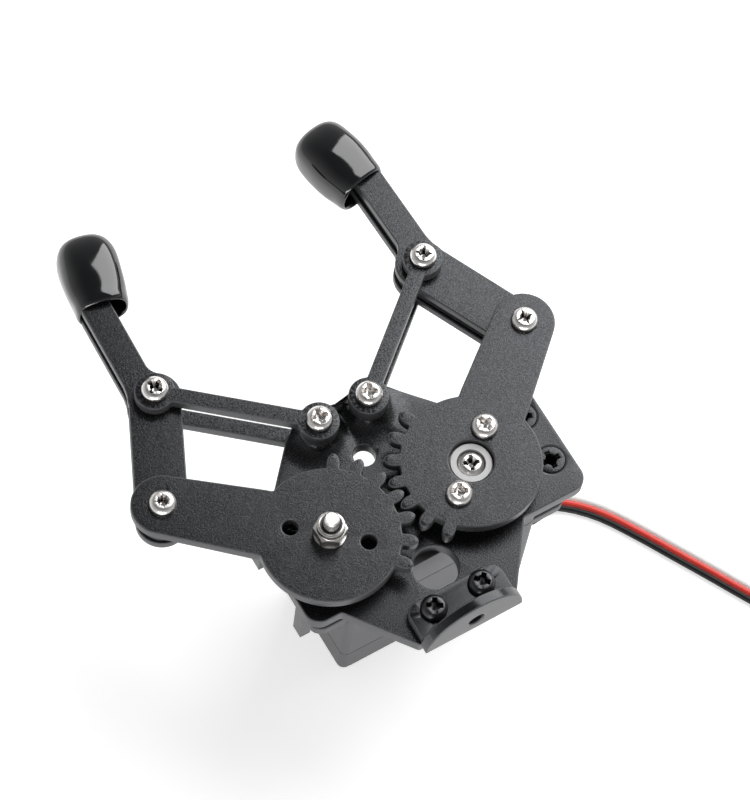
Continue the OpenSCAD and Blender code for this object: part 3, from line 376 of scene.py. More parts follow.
def heading(angle):
    """Level unit vector at an angle in degrees."""
    return Vector((math.cos(math.radians(angle)), math.sin(math.radians(angle)), 0))


def coil_route(start, angle):
    """The stored coil from a start point: inward spiral, tighter hook, straight end."""
    first = start + LEAD_WIDTH * heading(angle)
    centre = first + COIL_RADIUS * heading(angle + 90)
    last_radius = COIL_RADIUS - COIL_PITCH * COIL_TURNS
    last_angle = angle - 90 + 360 * COIL_TURNS
    route = [start]
    for i in range(int(COIL_STEPS * COIL_TURNS) + 1):
        radius = COIL_RADIUS - COIL_PITCH * i / COIL_STEPS
        route.append(centre + radius * heading(angle - 90 + 360 * i / COIL_STEPS))
    hook_centre = centre + (last_radius - HOOK_RADIUS) * heading(last_angle)
    for i in range(1, HOOK_STEPS + 1):
        route.append(hook_centre + HOOK_RADIUS * heading(last_angle + HOOK_ANGLE * i / HOOK_STEPS))
    plug_angle = last_angle + HOOK_ANGLE + 90
    route.append(route[-1] + LEAD_WIDTH * heading(plug_angle))
    return route, plug_angle


coil_heading = math.degrees(math.atan2(LAST_STEP[1], LAST_STEP[0]))
coil_points, plug_heading = coil_route(Vector(LEAD_POINTS[-1]), coil_heading)
print("lead points", len(LEAD_POINTS), "coil points", len(coil_points), "plug heading", round(plug_heading, 1))

# %% Smooth the route
ROUTE_STEPS = 3


def smooth_run(points, steps):
    """Catmull-Rom curve through the points, with a few steps between each two."""
    points = [Vector(p) for p in points]
    padded = [2 * points[0] - points[1], *points, 2 * points[-1] - points[-2]]
    run = []
    for a, b, c, d in zip(padded, padded[1:], padded[2:], padded[3:]):
        for i in range(steps):
            t = i / steps
            linear = (c - a) * t
            square = (2 * a - 5 * b + 4 * c - d) * t * t
            cube = (3 * b - a - 3 * c + d) * t**3
            run.append(0.5 * (2 * b + linear + square + cube))
    run.append(points[-1])
    for p in run:
        p.z = max(p.z, LEAD_THICKNESS / 2)
    return run


lead_route = [p * MM for p in smooth_run(LEAD_POINTS + coil_points[1:], ROUTE_STEPS)]
lead_length = sum((b - a).length for a, b in zip(lead_route, lead_route[1:]))
print("route points", len(lead_route), "length", round(lead_length, 4), "m")

# %% Lead section and sweep
WIRE_RADIUS = LEAD_THICKNESS / 2
WEB_ANGLE = 22
ARC_STEPS = 6
RIBBON_SHARP_ANGLE = 60


def ribbon_section():
    """(across, up, wire) in millimetres round three wires side by side, joined by thin webs."""
    section = []
    for side in (1, -1):
        for wire in (-side, 0, side):
            outer_start = side * wire == -1
            outer_end = side * wire == 1
            start = 180 if outer_start else 180 - WEB_ANGLE
            end = 0 if outer_end else WEB_ANGLE
            for i in range(ARC_STEPS if outer_end else ARC_STEPS + 1):
                angle = math.radians(start + (end - start) * i / ARC_STEPS)
                across = 2 * WIRE_RADIUS * wire + side * WIRE_RADIUS * math.cos(angle)
                section.append((across, side * WIRE_RADIUS * math.sin(angle), wire + 1))
    return section


def swept(route, section, name, materials):
    """Sweeps a flat section along a route whose flat side stays level."""
    shape = bmesh.new()
    rings = []
    for i, point in enumerate(route):
        along = (route[min(i + 1, len(route) - 1)] - route[max(i - 1, 0)]).normalized()
        across = Vector((along.y, -along.x, 0)).normalized()
        lift = across.cross(along)
        rings.append([shape.verts.new(point + (a * across + u * lift) * MM) for a, u, _ in section])
    count = len(section)
    for near, far in zip(rings, rings[1:]):
        for k in range(count):
            j = (k + 1) % count
            face = shape.faces.new((near[k], near[j], far[j], far[k]))
            face.material_index = section[k][2]
    for ring in (rings[0], rings[-1]):
        shape.faces.new(ring)
    bmesh.ops.recalc_face_normals(shape, faces=shape.faces)
    return piece_from_bmesh(name, shape, materials, RIBBON_SHARP_ANGLE)


servo_ribbon = swept(lead_route, ribbon_section(), "servo_ribbon", [wire_white, wire_red, wire_black])
print("ribbon faces", len(servo_ribbon.data.polygons))

# %% [markdown]
# ### Cutting and rounding
#
# A window or a recess is cut with a second shape, which is then deleted. A bevel rounds every
# edge that is sharper than a given angle. Edges between two slopes are left as they are, because
# the rounds of the narrow valleys under the nose bosses would run into each other. Where many
# edges meet, a bevel can still throw a vertex out of the old surface, so each one that strays
# too far is drawn back onto it. Last, the shading normals lean to the larger faces, so that flat
# faces look flat right up to their rounded edges.

# %% Cutting and edge helpers
SLOPE_RANGE = (0.05, 0.98)
BEVEL_SEGMENTS = 2
STRAY_SHARE = 0.4
ROUNDED_SHARP_ANGLE = 60


def carve(piece, cutter):
    """Cuts one piece with another, which is then deleted."""
    cut = piece.modifiers.new("carve", "BOOLEAN")
    cut.operation = "DIFFERENCE"
    cut.solver = "EXACT"
    cut.object = cutter
    applied(piece)
    bpy.data.objects.remove(cutter)


def settle_normals(piece):
    """Leans the shading normals to the larger faces, so that flat faces stay flat."""
    steady = piece.modifiers.new("flat_faces_stay_flat", "WEIGHTED_NORMAL")
    steady.mode = "FACE_AREA"
    steady.weight = 100
    steady.keep_sharp = True
    applied(piece)


def is_sloping(face):
    """True for a face that is neither level nor upright."""
    return SLOPE_RANGE[0] < abs(face.normal.z) < SLOPE_RANGE[1]


def round_edges(piece, width, degrees=40, edge_slot=-1):
    """Rounds a piece's sharp edges, except where two slopes meet, by a width in millimetres."""
    shape = bmesh.new()
    shape.from_mesh(piece.data)
    weights = shape.edges.layers.float.new("bevel_weight_edge")
    for edge in shape.edges:
        if len(edge.link_faces) == 2 and edge.calc_face_angle() > math.radians(degrees):
            edge[weights] = float(not all(is_sloping(face) for face in edge.link_faces))
    before = BVHTree.FromBMesh(shape)
    shape.to_mesh(piece.data)
    shape.free()
    bevel = piece.modifiers.new("soft_edges", "BEVEL")
    bevel.limit_method = "WEIGHT"
    bevel.width = width * MM
    bevel.segments = BEVEL_SEGMENTS
    # The bevel faces take the edge slot; on moulded parts that slot holds the painted highlight.
    bevel.material = edge_slot
    bevel.use_clamp_overlap = False
    bevel.miter_outer = "MITER_ARC"
    bevel.loop_slide = False
    applied(piece)
    for vertex in piece.data.vertices:
        nearest, _, _, distance = before.find_nearest(vertex.co)
        if distance > STRAY_SHARE * width * MM:
            vertex.co = nearest
    piece.data.shade_smooth()
    piece.data.set_sharp_from_angle(angle=math.radians(ROUNDED_SHARP_ANGLE))
    settle_normals(piece)


print("cutting and edge helpers ready")

# %% [markdown]
# ### The connector
#
# The lead ends in a small three-way socket. Its housing is a flat black block of the packed
# node's size, with rounded edges. Three long windows in its top show the crimped gold contacts,
# and three square openings in its nose show their ends.

# %% Connector housing
PLUG_LENGTH = 14.0
PLUG_WIDTH = 7.6
PLUG_HEIGHT = 2.5
PLUG_PITCH = PLUG_WIDTH / 3
PLUG_EDGE = 0.16
PLUG_WAYS = (-PLUG_PITCH, 0, PLUG_PITCH)
WINDOW_ENDS = (4.2, 7.4)
WINDOW_HALF_WIDTH = 0.65
WINDOW_FLOOR = 1.9
NOSE_DEPTH = 3.5
NOSE_HALF_WIDTH = 0.45
NOSE_LEVELS = (0.8, 1.7)
CUTTER_END = 1
CUTTER_TOP = 3


def add_block(shape, low, high, index=0, taper=0.0):
    """An axis-aligned block in millimetres; taper draws its top face in."""
    (x0, y0, z0), (x1, y1, z1) = low, high
    t = taper
    corners = [
        (x0, y0, z0), (x1, y0, z0), (x1, y1, z0), (x0, y1, z0),
        (x0 + t, y0 + t, z1), (x1 - t, y0 + t, z1), (x1 - t, y1 - t, z1), (x0 + t, y1 - t, z1),
    ]  # fmt: skip
    verts = [shape.verts.new(Vector(c) * MM) for c in corners]
    for ring in ((3, 2, 1, 0), (4, 5, 6, 7), (0, 1, 5, 4), (1, 2, 6, 5), (2, 3, 7, 6), (3, 0, 4, 7)):
        shape.faces.new([verts[k] for k in ring]).material_index = index


def way_block(shape, y, half_width, ends, levels, index=0, taper=0.0):
    """A block along X, centred on one way of the connector."""
    low = (ends[0], y - half_width, levels[0])
    high = (ends[1], y + half_width, levels[1])
    add_block(shape, low, high, index, taper)


shape = bmesh.new()
for y in PLUG_WAYS:
    way_block(shape, y, NOSE_HALF_WIDTH, (PLUG_LENGTH - NOSE_DEPTH, PLUG_LENGTH + CUTTER_END), NOSE_LEVELS)
    way_block(shape, y, WINDOW_HALF_WIDTH, WINDOW_ENDS, (WINDOW_FLOOR, CUTTER_TOP))
cutters = piece_from_bmesh("connector_cutters", shape, [])
shape = bmesh.new()
add_block(shape, (0, -PLUG_WIDTH / 2, 0), (PLUG_LENGTH, PLUG_WIDTH / 2, PLUG_HEIGHT))
connector = piece_from_bmesh("connector_housing", shape, [case_black, gold_plate])
carve(connector, cutters)
round_edges(connector, PLUG_EDGE)
print("housing faces", len(connector.data.polygons))

# %% Connector contacts
CONTACT_HALF_WIDTH = 0.5
CONTACT_ENDS = (WINDOW_ENDS[0] + 0.1, WINDOW_ENDS[1] - 0.1)
CONTACT_LEVELS = (1.3, 2.25)
CONTACT_TAPER = 0.12
TONGUE_HALF_WIDTH = 0.3
TONGUE_ENDS = (PLUG_LENGTH - 3.3, PLUG_LENGTH - 0.4)
TONGUE_LEVELS = (1.0, 1.15)

shape = bmesh.new()
shape.from_mesh(connector.data)
for y in PLUG_WAYS:
    way_block(shape, y, CONTACT_HALF_WIDTH, CONTACT_ENDS, CONTACT_LEVELS, 1, CONTACT_TAPER)
    way_block(shape, y, TONGUE_HALF_WIDTH, TONGUE_ENDS, TONGUE_LEVELS, 1)
shape.to_mesh(connector.data)
shape.free()
plug_start = Vector((coil_points[-1].x, coil_points[-1].y, 0)) * MM
connector.data.transform(Matrix.Translation(plug_start) @ Matrix.Rotation(math.radians(plug_heading), 4, "Z"))
print("connector faces", len(connector.data.polygons))

for piece in (servo_ribbon, connector):
    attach(piece, "base")
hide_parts("servo_lead", "servo_lead_coil")
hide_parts("lead_connector")
tuple(lead_route[0])
[tuple(p) for p in lead_route]
print("lead declared, length", round(lead_length, 4), "m")

# %% [markdown]
# ## Moulded parts
#
# The plate, the arms, the fingers and the link bars are injection-moulded. Their faces are
# grained, and every edge comes out of the mould slightly rounded and smoother. Each imported
# node already has the exact outline. Its mesh is copied, its doubles are merged and its flat
# triangles are joined into whole faces. A joined face with a hole or a notch would fold over
# itself in the bevel, so it is split again until every face is convex. The rounded edges get
# their own, much paler material: a painted highlight for the thin bright line along them that
# makes the part read as plastic. The upright walls, which slide along the steel as the mould
# opens and stay smoother, get a paler material too: painted light that makes them brighter
# than the tops.

# %% Moulded copies of imported nodes
MERGE_DISTANCE = 2e-6
FLAT_WITHIN = 0.6
# The edge slot holds the painted highlight along rounded edges, the wall slot the painted light on upright walls.
FACE_SLOT, PAINTED_HIGHLIGHT_SLOT, PAINTED_LIGHT_WALL_SLOT = range(3)
MOULD_EDGE_ANGLE = 38


def moulded_copy(name, node, body, finishes, width):
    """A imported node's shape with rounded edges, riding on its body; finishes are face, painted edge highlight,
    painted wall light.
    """
    shape = bmesh.new()
    shape.from_mesh(nodes[node].data)
    bmesh.ops.remove_doubles(shape, verts=shape.verts, dist=MERGE_DISTANCE)
    bmesh.ops.dissolve_limit(
        shape,
        angle_limit=math.radians(FLAT_WITHIN),
        verts=shape.verts,
        edges=shape.edges,
        use_dissolve_boundaries=False,
    )
    bmesh.ops.connect_verts_concave(shape, faces=shape.faces)
    shape.normal_update()
    for face in shape.faces:
        # Upright faces take the wall slot, whose paler tone is painted light on the walls.
        face.material_index = FACE_SLOT if abs(face.normal.z) > 0.5 else PAINTED_LIGHT_WALL_SLOT
    piece = piece_from_bmesh(name, shape, finishes)
    round_edges(piece, width, MOULD_EDGE_ANGLE, PAINTED_HIGHLIGHT_SLOT)
    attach(piece, body)
    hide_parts(node)
    print(name, "faces", len(piece.data.polygons))


MOULDED = [
    ("plate", "base_plate", "base", grained_black, 0.28),
    ("tail_bracket", "rear_bracket", "base", satin_black, 0.28),
    ("driven_arm", "right_drive_arm", "right_arm", grained_black, 0.28),
    ("following_arm", "left_drive_arm", "left_arm", grained_black, 0.28),
    ("finger_right", "right_finger", "right_finger", grained_black, 0.25),
    ("finger_left", "left_finger", "left_finger", grained_black, 0.25),
    ("bar_right_upper", "right_upper_link", "right_links", link_black, 0.22),
    ("bar_right_lower", "right_lower_link", "right_links", link_black, 0.22),
    ("bar_left_upper", "left_upper_link", "left_links", link_black, 0.22),
    ("bar_left_lower", "left_lower_link", "left_links", link_black, 0.22),
]
for name, node, body, finish, width in MOULDED:
    # The second finish is the painted highlight of the edges, the third the painted light of the walls.
    moulded_copy(name, node, body, [finish, edge_black, wall_black], width)

# %% Servo case
CASE_EDGE = 0.3
CASE_PARTS = [
    ("case_bottom", "servo_bottom_cover"),
    ("case_middle", "servo_middle_case"),
    ("case_top", "servo_top_cover"),
    ("lead_gland", "lead_grommet"),
]
for name, node in CASE_PARTS:
    moulded_copy(name, node, "base", [case_black] * 3, CASE_EDGE)

# %% [markdown]
# ## Screws
#
# The gripper is held together by small machine screws: bright pan heads on the joints, blackened
# ones on the bracket, and countersunk ones through the plate. A head is turned, then a
# cross recess is punched into it: four tapering wings round a small cone. It is made once for
# each kind. A node tree then places it at every screw of that kind, turns it by a random angle,
# as a fitter leaves it, and builds the threaded shank below it by rolling a grid round
# an axis and lifting its points along a helix.

# %% Turned shapes


def in_metres(outline):
    """The same (radius, height) points in metres instead of millimetres."""
    return [(radius * MM, height * MM) for radius, height in outline]


def lathe(shape, outline, steps, material_index=0):
    """Turns (radius, height) points in metres round the Z axis; radius 0 closes a pole."""
    rings = []
    for radius, height in outline:
        angles = [2 * math.pi * k / steps for k in range(steps if radius else 1)]
        rings.append([shape.verts.new((radius * math.cos(a), radius * math.sin(a), height)) for a in angles])
    for low, high in zip(rings, rings[1:]):
        for k in range(steps):
            a, b = low[k % len(low)], low[(k + 1) % len(low)]
            d, c = high[k % len(high)], high[(k + 1) % len(high)]
            corners = [v for i, v in enumerate((a, b, c, d)) if v not in (a, b, c, d)[:i]]
            if len(corners) > 2:
                shape.faces.new(corners).material_index = material_index


print("lathe ready")

# %% Cross recess cutter
RECESS_DEPTH = 0.4
WING_HALF_LENGTHS = (0.5, 0.32)
WING_HALF_WIDTHS = (0.15, 0.11)
CONE_DEPTHS = (1.15, 0.95)
CONE_RADII = (0.17, 0.3)
CONE_TOP = 0.3
CONE_STEPS = 16


def recess_cutters(width):
    """Two tapered wings and a centre cone, pointing down from the origin, for a width in mm.

    Lengths, widths and radii are shares of the width; the cone's depths are shares of the depth.
    """
    depth = width * RECESS_DEPTH
    top_x, low_x = (width * share for share in WING_HALF_LENGTHS)
    top_y, low_y = (width * share for share in WING_HALF_WIDTHS)
    for turn_about in (0, 90):
        shape = bmesh.new()
        turned = Matrix.Rotation(math.radians(turn_about), 4, "Z")
        ring = [
            (-top_x, -top_y, 1), (top_x, -top_y, 1), (top_x, top_y, 1), (-top_x, top_y, 1),
            (-low_x, -low_y, -depth), (low_x, -low_y, -depth), (low_x, low_y, -depth), (-low_x, low_y, -depth),
        ]  # fmt: skip
        verts = [shape.verts.new(turned @ (Vector(p) * MM)) for p in ring]
        for corners in ((0, 1, 2, 3), (7, 6, 5, 4), (4, 5, 1, 0), (5, 6, 2, 1), (6, 7, 3, 2), (7, 4, 0, 3)):
            shape.faces.new([verts[k] for k in corners])
        bmesh.ops.recalc_face_normals(shape, faces=shape.faces)
        yield piece_from_bmesh("recess_wing", shape, [])
    shape = bmesh.new()
    cone = [
        (0, -depth * CONE_DEPTHS[0]),
        (width * CONE_RADII[0], -depth * CONE_DEPTHS[1]),
        (width * CONE_RADII[1], CONE_TOP),
        (0, CONE_TOP),
    ]
    lathe(shape, in_metres(cone), CONE_STEPS)
    bmesh.ops.recalc_face_normals(shape, faces=shape.faces)
    yield piece_from_bmesh("recess_cone", shape, [])


print("a recess is", RECESS_DEPTH, "of its width deep")

# %% Screw heads
HEAD_STEPS = 64
HEAD_SHARP_ANGLE = 50
PUNCHED_ANGLE = 42
PUNCHED_EDGE = 0.05
PAN_RADIUS = 2.5
PAN_HEIGHT = 1.7
PAN_RECESS = 3.7
FLAT_RADIUS = 2.95
FLAT_RECESS = 4.0
SHANK_RADIUS = 1.5
PAN_OUTLINE = [
    (0, 0.02), (2.2, 0.02), (2.4, 0.05), (2.48, 0.14), (2.5, 0.3), (2.5, 0.62), (2.44, 0.9),
    (2.3, 1.16), (2.08, 1.4), (1.88, 1.56), (1.74, 1.65), (1.6, 1.69), (0.8, 1.7), (0, 1.7),
]  # fmt: skip
FLAT_OUTLINE = [(0, -1.44), (1.3, -1.44), (2.5, -0.24), (2.64, -0.1), (2.62, -0.03), (2.54, 0), (1.5, 0), (0, 0)]


def screw_head(name, outline, recess_width, recess_top):
    """A turned head with a cross recess, whose seat is the origin."""
    shape = bmesh.new()
    lathe(shape, in_metres(outline), HEAD_STEPS)
    bmesh.ops.recalc_face_normals(shape, faces=shape.faces)
    head = piece_from_bmesh(name, shape, [], HEAD_SHARP_ANGLE)
    for cutter in recess_cutters(recess_width):
        cutter.data.transform(Matrix.Translation((0, 0, recess_top * MM)))
        carve(head, cutter)
    bevel = head.modifiers.new("punched_edges", "BEVEL")
    bevel.limit_method = "ANGLE"
    bevel.angle_limit = math.radians(PUNCHED_ANGLE)
    bevel.width = PUNCHED_EDGE * MM
    bevel.segments = BEVEL_SEGMENTS
    bevel.use_clamp_overlap = True
    applied(head)
    head.data.shade_smooth()
    head.data.set_sharp_from_angle(angle=math.radians(HEAD_SHARP_ANGLE))
    return head


pan_head = screw_head("pan_head", PAN_OUTLINE, PAN_RECESS, PAN_HEIGHT)
flat_head = screw_head("flat_head", FLAT_OUTLINE, FLAT_RECESS, 0)
print("pan head faces", len(pan_head.data.polygons), "flat head faces", len(flat_head.data.polygons))

# %% Node tree helpers


def new_tree(name, sockets):
    """A geometry node tree with named inputs; returns (tree, group input, group output)."""
    tree = bpy.data.node_groups.new(name, "GeometryNodeTree")
    tree.interface.new_socket("Geometry", in_out="INPUT", socket_type="NodeSocketGeometry")
    for label, kind, value in sockets:
        socket = tree.interface.new_socket(label, in_out="INPUT", socket_type=kind)
        if value is not None:
            socket.default_value = value
    tree.interface.new_socket("Geometry", in_out="OUTPUT", socket_type="NodeSocketGeometry")
    return tree, tree.nodes.new("NodeGroupInput"), tree.nodes.new("NodeGroupOutput")


def math_node(tree, operation, first, second=None):
    """The result of one Math node; each argument is a socket or a number."""
    node = add_node(tree, "ShaderNodeMath", operation=operation)
    for socket, value in zip(node.inputs, (first, second)):
        if isinstance(value, (int, float)):
            socket.default_value = value
        elif value is not None:
            tree.links.new(value, socket)
    return node.outputs[0]


def place_copies(tree, given, result, pattern, most_turn):
    """Puts the pattern on every point, turned by up to most_turn radians, and coats them all."""
    spread = add_node(tree, "FunctionNodeRandomValue", data_type="FLOAT")
    spread.inputs[2].default_value = 0.0
    spread.inputs[3].default_value = most_turn
    tree.links.new(given.outputs["Seed"], spread.inputs["Seed"])
    turn_z = tree.nodes.new("ShaderNodeCombineXYZ")
    tree.links.new(spread.outputs[1], turn_z.inputs[2])
    placed = tree.nodes.new("GeometryNodeInstanceOnPoints")
    tree.links.new(given.outputs["Geometry"], placed.inputs["Points"])
    tree.links.new(pattern, placed.inputs["Instance"])
    tree.links.new(turn_z.outputs[0], placed.inputs["Rotation"])
    real = tree.nodes.new("GeometryNodeRealizeInstances")
    tree.links.new(placed.outputs[0], real.inputs[0])
    coat = tree.nodes.new("GeometryNodeSetMaterial")
    tree.links.new(real.outputs[0], coat.inputs["Geometry"])
    tree.links.new(given.outputs["Material"], coat.inputs["Material"])
    tree.links.new(coat.outputs[0], result.inputs[0])


def grown(name, points, tree, settings, sharp_degrees):
    """Runs a node tree on a cloud of points (in metres) and keeps the result as plain mesh."""
    cloud = bpy.data.meshes.new(name)
    cloud.from_pydata([tuple(p) for p in points], [], [])
    piece = bpy.data.objects.new(name, cloud)
    bpy.context.scene.collection.objects.link(piece)
    growth = piece.modifiers.new("growth", "NODES")
    growth.node_group = tree
    for socket in tree.interface.items_tree:
        if socket.in_out == "INPUT" and socket.name in settings:
            growth[socket.identifier] = settings[socket.name]
    applied(piece)
    piece.data.shade_smooth()
    piece.data.set_sharp_from_angle(angle=math.radians(sharp_degrees))
    settle_normals(piece)
    return piece


print("node tree helpers ready")

# %% Screw tree
THREAD_STEPS = 20
THREAD_RINGS = 150
THREAD_WELD = 1e-7
MOST_SCREW_TURN = math.pi / 2


def make_thread(tree, given):
    """A threaded rod below the origin: a grid rolled round Z, its points lifted along a helix."""

    def calc(operation, first, second=None):
        """A Math node in this tree."""
        return math_node(tree, operation, first, second)

    length, thread_depth = given.outputs["Length"], given.outputs["Thread Depth"]
    shank, chamfer = given.outputs["Shank Radius"], given.outputs["Chamfer"]
    counts = {"Size X": 1.0, "Size Y": 1.0, "Vertices X": THREAD_STEPS + 1, "Vertices Y": THREAD_RINGS}
    grid = add_node(tree, "GeometryNodeMeshGrid", counts)
    place = tree.nodes.new("GeometryNodeInputPosition")
    split = tree.nodes.new("ShaderNodeSeparateXYZ")
    tree.links.new(place.outputs[0], split.inputs[0])
    around = calc("ADD", split.outputs[0], 0.5)
    angle = calc("MULTIPLY", around, 2 * math.pi)
    depth = calc("MULTIPLY", calc("ADD", split.outputs[1], 0.5), length)
    wound = calc("ADD", calc("DIVIDE", depth, given.outputs["Pitch"]), around)
    wave = calc("PINGPONG", wound, 0.5)
    groove = calc("MULTIPLY", calc("MULTIPLY", wave, 2.0), thread_depth)
    point = calc("MAXIMUM", calc("SUBTRACT", chamfer, calc("SUBTRACT", length, depth)), 0.0)
    radius = calc("SUBTRACT", calc("SUBTRACT", shank, groove), point)
    rolled = tree.nodes.new("ShaderNodeCombineXYZ")
    tree.links.new(calc("MULTIPLY", radius, calc("COSINE", angle)), rolled.inputs[0])
    tree.links.new(calc("MULTIPLY", radius, calc("SINE", angle)), rolled.inputs[1])
    tree.links.new(calc("MULTIPLY", depth, -1.0), rolled.inputs[2])
    moved = tree.nodes.new("GeometryNodeSetPosition")
    tree.links.new(grid.outputs["Mesh"], moved.inputs["Geometry"])
    tree.links.new(rolled.outputs[0], moved.inputs["Position"])
    closed = add_node(tree, "GeometryNodeMergeByDistance", {"Distance": THREAD_WELD})
    tree.links.new(moved.outputs[0], closed.inputs["Geometry"])
    disc = add_node(tree, "GeometryNodeMeshCircle", {"Vertices": THREAD_STEPS}, fill_type="NGON")
    end_radius = calc("SUBTRACT", calc("SUBTRACT", shank, chamfer), calc("MULTIPLY", thread_depth, 0.5))
    tree.links.new(end_radius, disc.inputs["Radius"])
    lowered = tree.nodes.new("GeometryNodeTransform")
    tree.links.new(disc.outputs[0], lowered.inputs["Geometry"])
    offset = tree.nodes.new("ShaderNodeCombineXYZ")
    tree.links.new(calc("MULTIPLY", length, -1.0), offset.inputs[2])
    tree.links.new(offset.outputs[0], lowered.inputs["Translation"])
    flipped = tree.nodes.new("GeometryNodeFlipFaces")
    tree.links.new(lowered.outputs[0], flipped.inputs[0])
    both = tree.nodes.new("GeometryNodeJoinGeometry")
    tree.links.new(closed.outputs[0], both.inputs[0])
    tree.links.new(flipped.outputs[0], both.inputs[0])
    return both.outputs[0]


def make_screw_tree():
    """Places a head and its threaded shank on every point of the input."""
    tree, given, result = new_tree(
        "set_of_screws",
        [
            ("Head", "NodeSocketObject", None),
            ("Shank Radius", "NodeSocketFloat", 0.0015),
            ("Length", "NodeSocketFloat", 0.012),
            ("Pitch", "NodeSocketFloat", 0.0005),
            ("Thread Depth", "NodeSocketFloat", 0.00022),
            ("Chamfer", "NodeSocketFloat", 0.0003),
            ("Material", "NodeSocketMaterial", None),
            ("Seed", "NodeSocketInt", 1),
        ],
    )
    head = add_node(tree, "GeometryNodeObjectInfo", transform_space="ORIGINAL")
    tree.links.new(given.outputs["Head"], head.inputs["Object"])
    screw = tree.nodes.new("GeometryNodeJoinGeometry")
    tree.links.new(head.outputs["Geometry"], screw.inputs[0])
    tree.links.new(make_thread(tree, given), screw.inputs[0])
    place_copies(tree, given, result, screw.outputs[0], MOST_SCREW_TURN)
    return tree


screw_tree = make_screw_tree()
print("screw tree nodes", len(screw_tree.nodes))

# %% [markdown]
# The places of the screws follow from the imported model: a screw node's box gives the height of
# its seat and its end, and the box of a pair gives how far apart the two stand. A pair takes two
# opposite corners of its box. Known flaw: a packed head reaches 0.005 mm less far along Y than
# its radius, so a lone screw gets two places, 0.01 mm apart, and is set twice with two turns.
# Its two cross recesses then partly fill each other.

# %% Set the screws
PAN = (pan_head, PAN_RADIUS, PAN_HEIGHT)
FLAT = (flat_head, FLAT_RADIUS, 0)
SCREWS = [
    ("pivot_screws_base", "base_link_screws", "base", PAN, plated_steel, "bright_steel", 3),
    ("pivot_screw_right_arm", "right_arm_screw", "right_arm", PAN, plated_steel, "bright_steel", 12),
    ("pivot_screw_left_arm", "left_arm_screw", "left_arm", PAN, plated_steel, "bright_steel", 5),
    ("pivot_screw_right_finger", "right_link_screw", "right_finger", PAN, plated_steel, "bright_steel", 7),
    ("pivot_screw_left_finger", "left_link_screw", "left_finger", PAN, plated_steel, "bright_steel", 8),
    ("horn_hub_screw", "horn_centre_screw", "right_arm", PAN, plated_steel, "bright_steel", 21),
    ("horn_plate_screws", "horn_screws", "right_arm", PAN, plated_steel, "bright_steel", 4),
    ("tail_screws", "bracket_screws", "base", PAN, blackened_steel, "black_steel", 6),
    ("plate_screws", "servo_mount_screws", "base", FLAT, grained_black, "black_steel", 9),
]
SETS_OF_FOUR = ("servo_mount_screws",)
THINNER_SHANKS = {"horn_screws": 1.38}


def box_in_mm(node):
    """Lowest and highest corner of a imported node, in millimetres."""
    return [Vector(corner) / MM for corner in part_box(node)]


def corner_places(low, high, reach_x, reach_y, digits):
    """(x, y) of what stands in the corners of a box, each reaching so far from its centre."""
    xs = sorted({round(low.x + reach_x, digits), round(high.x - reach_x, digits)})
    ys = sorted({round(low.y + reach_y, digits), round(high.y - reach_y, digits)})
    return [(x, y) for x in xs for y in ys]


def set_screws(name, node, body, kind, finish, slot_name, seed):
    """All screws of one node as one piece; the heads' tops and the shanks' ends meet its box."""
    head, head_radius, head_height = kind
    low, high = box_in_mm(node)
    places = corner_places(low, high, head_radius, head_radius, 4)
    if len(places) == 4 and node not in SETS_OF_FOUR:
        places = [places[0], places[-1]]
    seat = high.z - head_height
    settings = {
        "Head": head,
        "Shank Radius": THINNER_SHANKS.get(node, SHANK_RADIUS) * MM,
        "Length": (seat - low.z) * MM,
        "Material": finish,
        "Seed": seed,
    }
    points = [Vector((x, y, seat)) * MM for x, y in places]
    piece = grown(name, points, screw_tree, settings, HEAD_SHARP_ANGLE)
    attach(piece, body)
    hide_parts(node)
    print(name, "places", len(places), "faces", len(piece.data.polygons))


for row in SCREWS:
    set_screws(*row)

# %% [markdown]
# ## Nuts
#
# Plain hexagon nuts close every joint from below, and one lock nut holds the following gear from
# above. A hexagon nut is a prism whose six corners are turned off at 30 degrees, so each side
# ends in a curved line. The radius of a hexagon at any angle is known, and so is the cone that
# cuts it, which gives every point of the outline without a boolean cut.

# %% Nut shape
NUT_FLATS = 5.5
NUT_HEIGHT = 2.4
NUT_BORE = 1.52
NUT_LIP = 0.25
NUT_FACE_RADIUS = NUT_FLATS / 2 * 0.97
NUT_STEPS = 72
NUT_SHARP_ANGLE = 25


def hexagon_radius(angle):
    """Distance from the centre to a nut's side at an angle in degrees."""
    return NUT_FLATS / 2 / math.cos(math.radians((angle + 30) % 60 - 30))


def nut_shape(shape, height):
    """A hexagon nut standing on the origin, with turned corners and a chamfered bore."""
    slope = math.tan(math.radians(30))
    columns = []
    for k in range(NUT_STEPS):
        angle = 360 * k / NUT_STEPS
        c, s = math.cos(math.radians(angle)), math.sin(math.radians(angle))
        outer = hexagon_radius(angle)
        drop = max(0.0, outer - NUT_FACE_RADIUS) * slope
        outline = [
            (NUT_BORE, NUT_LIP), (NUT_BORE + NUT_LIP, 0), (NUT_FACE_RADIUS, 0), (outer, drop),
            (outer, height - drop), (NUT_FACE_RADIUS, height), (NUT_BORE + NUT_LIP, height),
            (NUT_BORE, height - NUT_LIP),
        ]  # fmt: skip
        columns.append([shape.verts.new(Vector((r * c, r * s, z)) * MM) for r, z in outline])
    rings = list(zip(*columns))
    for near, far in zip(rings, rings[1:] + rings[:1]):
        for k in range(NUT_STEPS):
            j = (k + 1) % NUT_STEPS
            shape.faces.new((near[k], near[j], far[j], far[k]))
    bmesh.ops.recalc_face_normals(shape, faces=shape.faces)


shape = bmesh.new()
nut_shape(shape, NUT_HEIGHT)
plain_nut = piece_from_bmesh("plain_nut", shape, [], NUT_SHARP_ANGLE)
print("nut faces", len(plain_nut.data.polygons))

# %% Set the nuts
MOST_NUT_TURN = 0.12


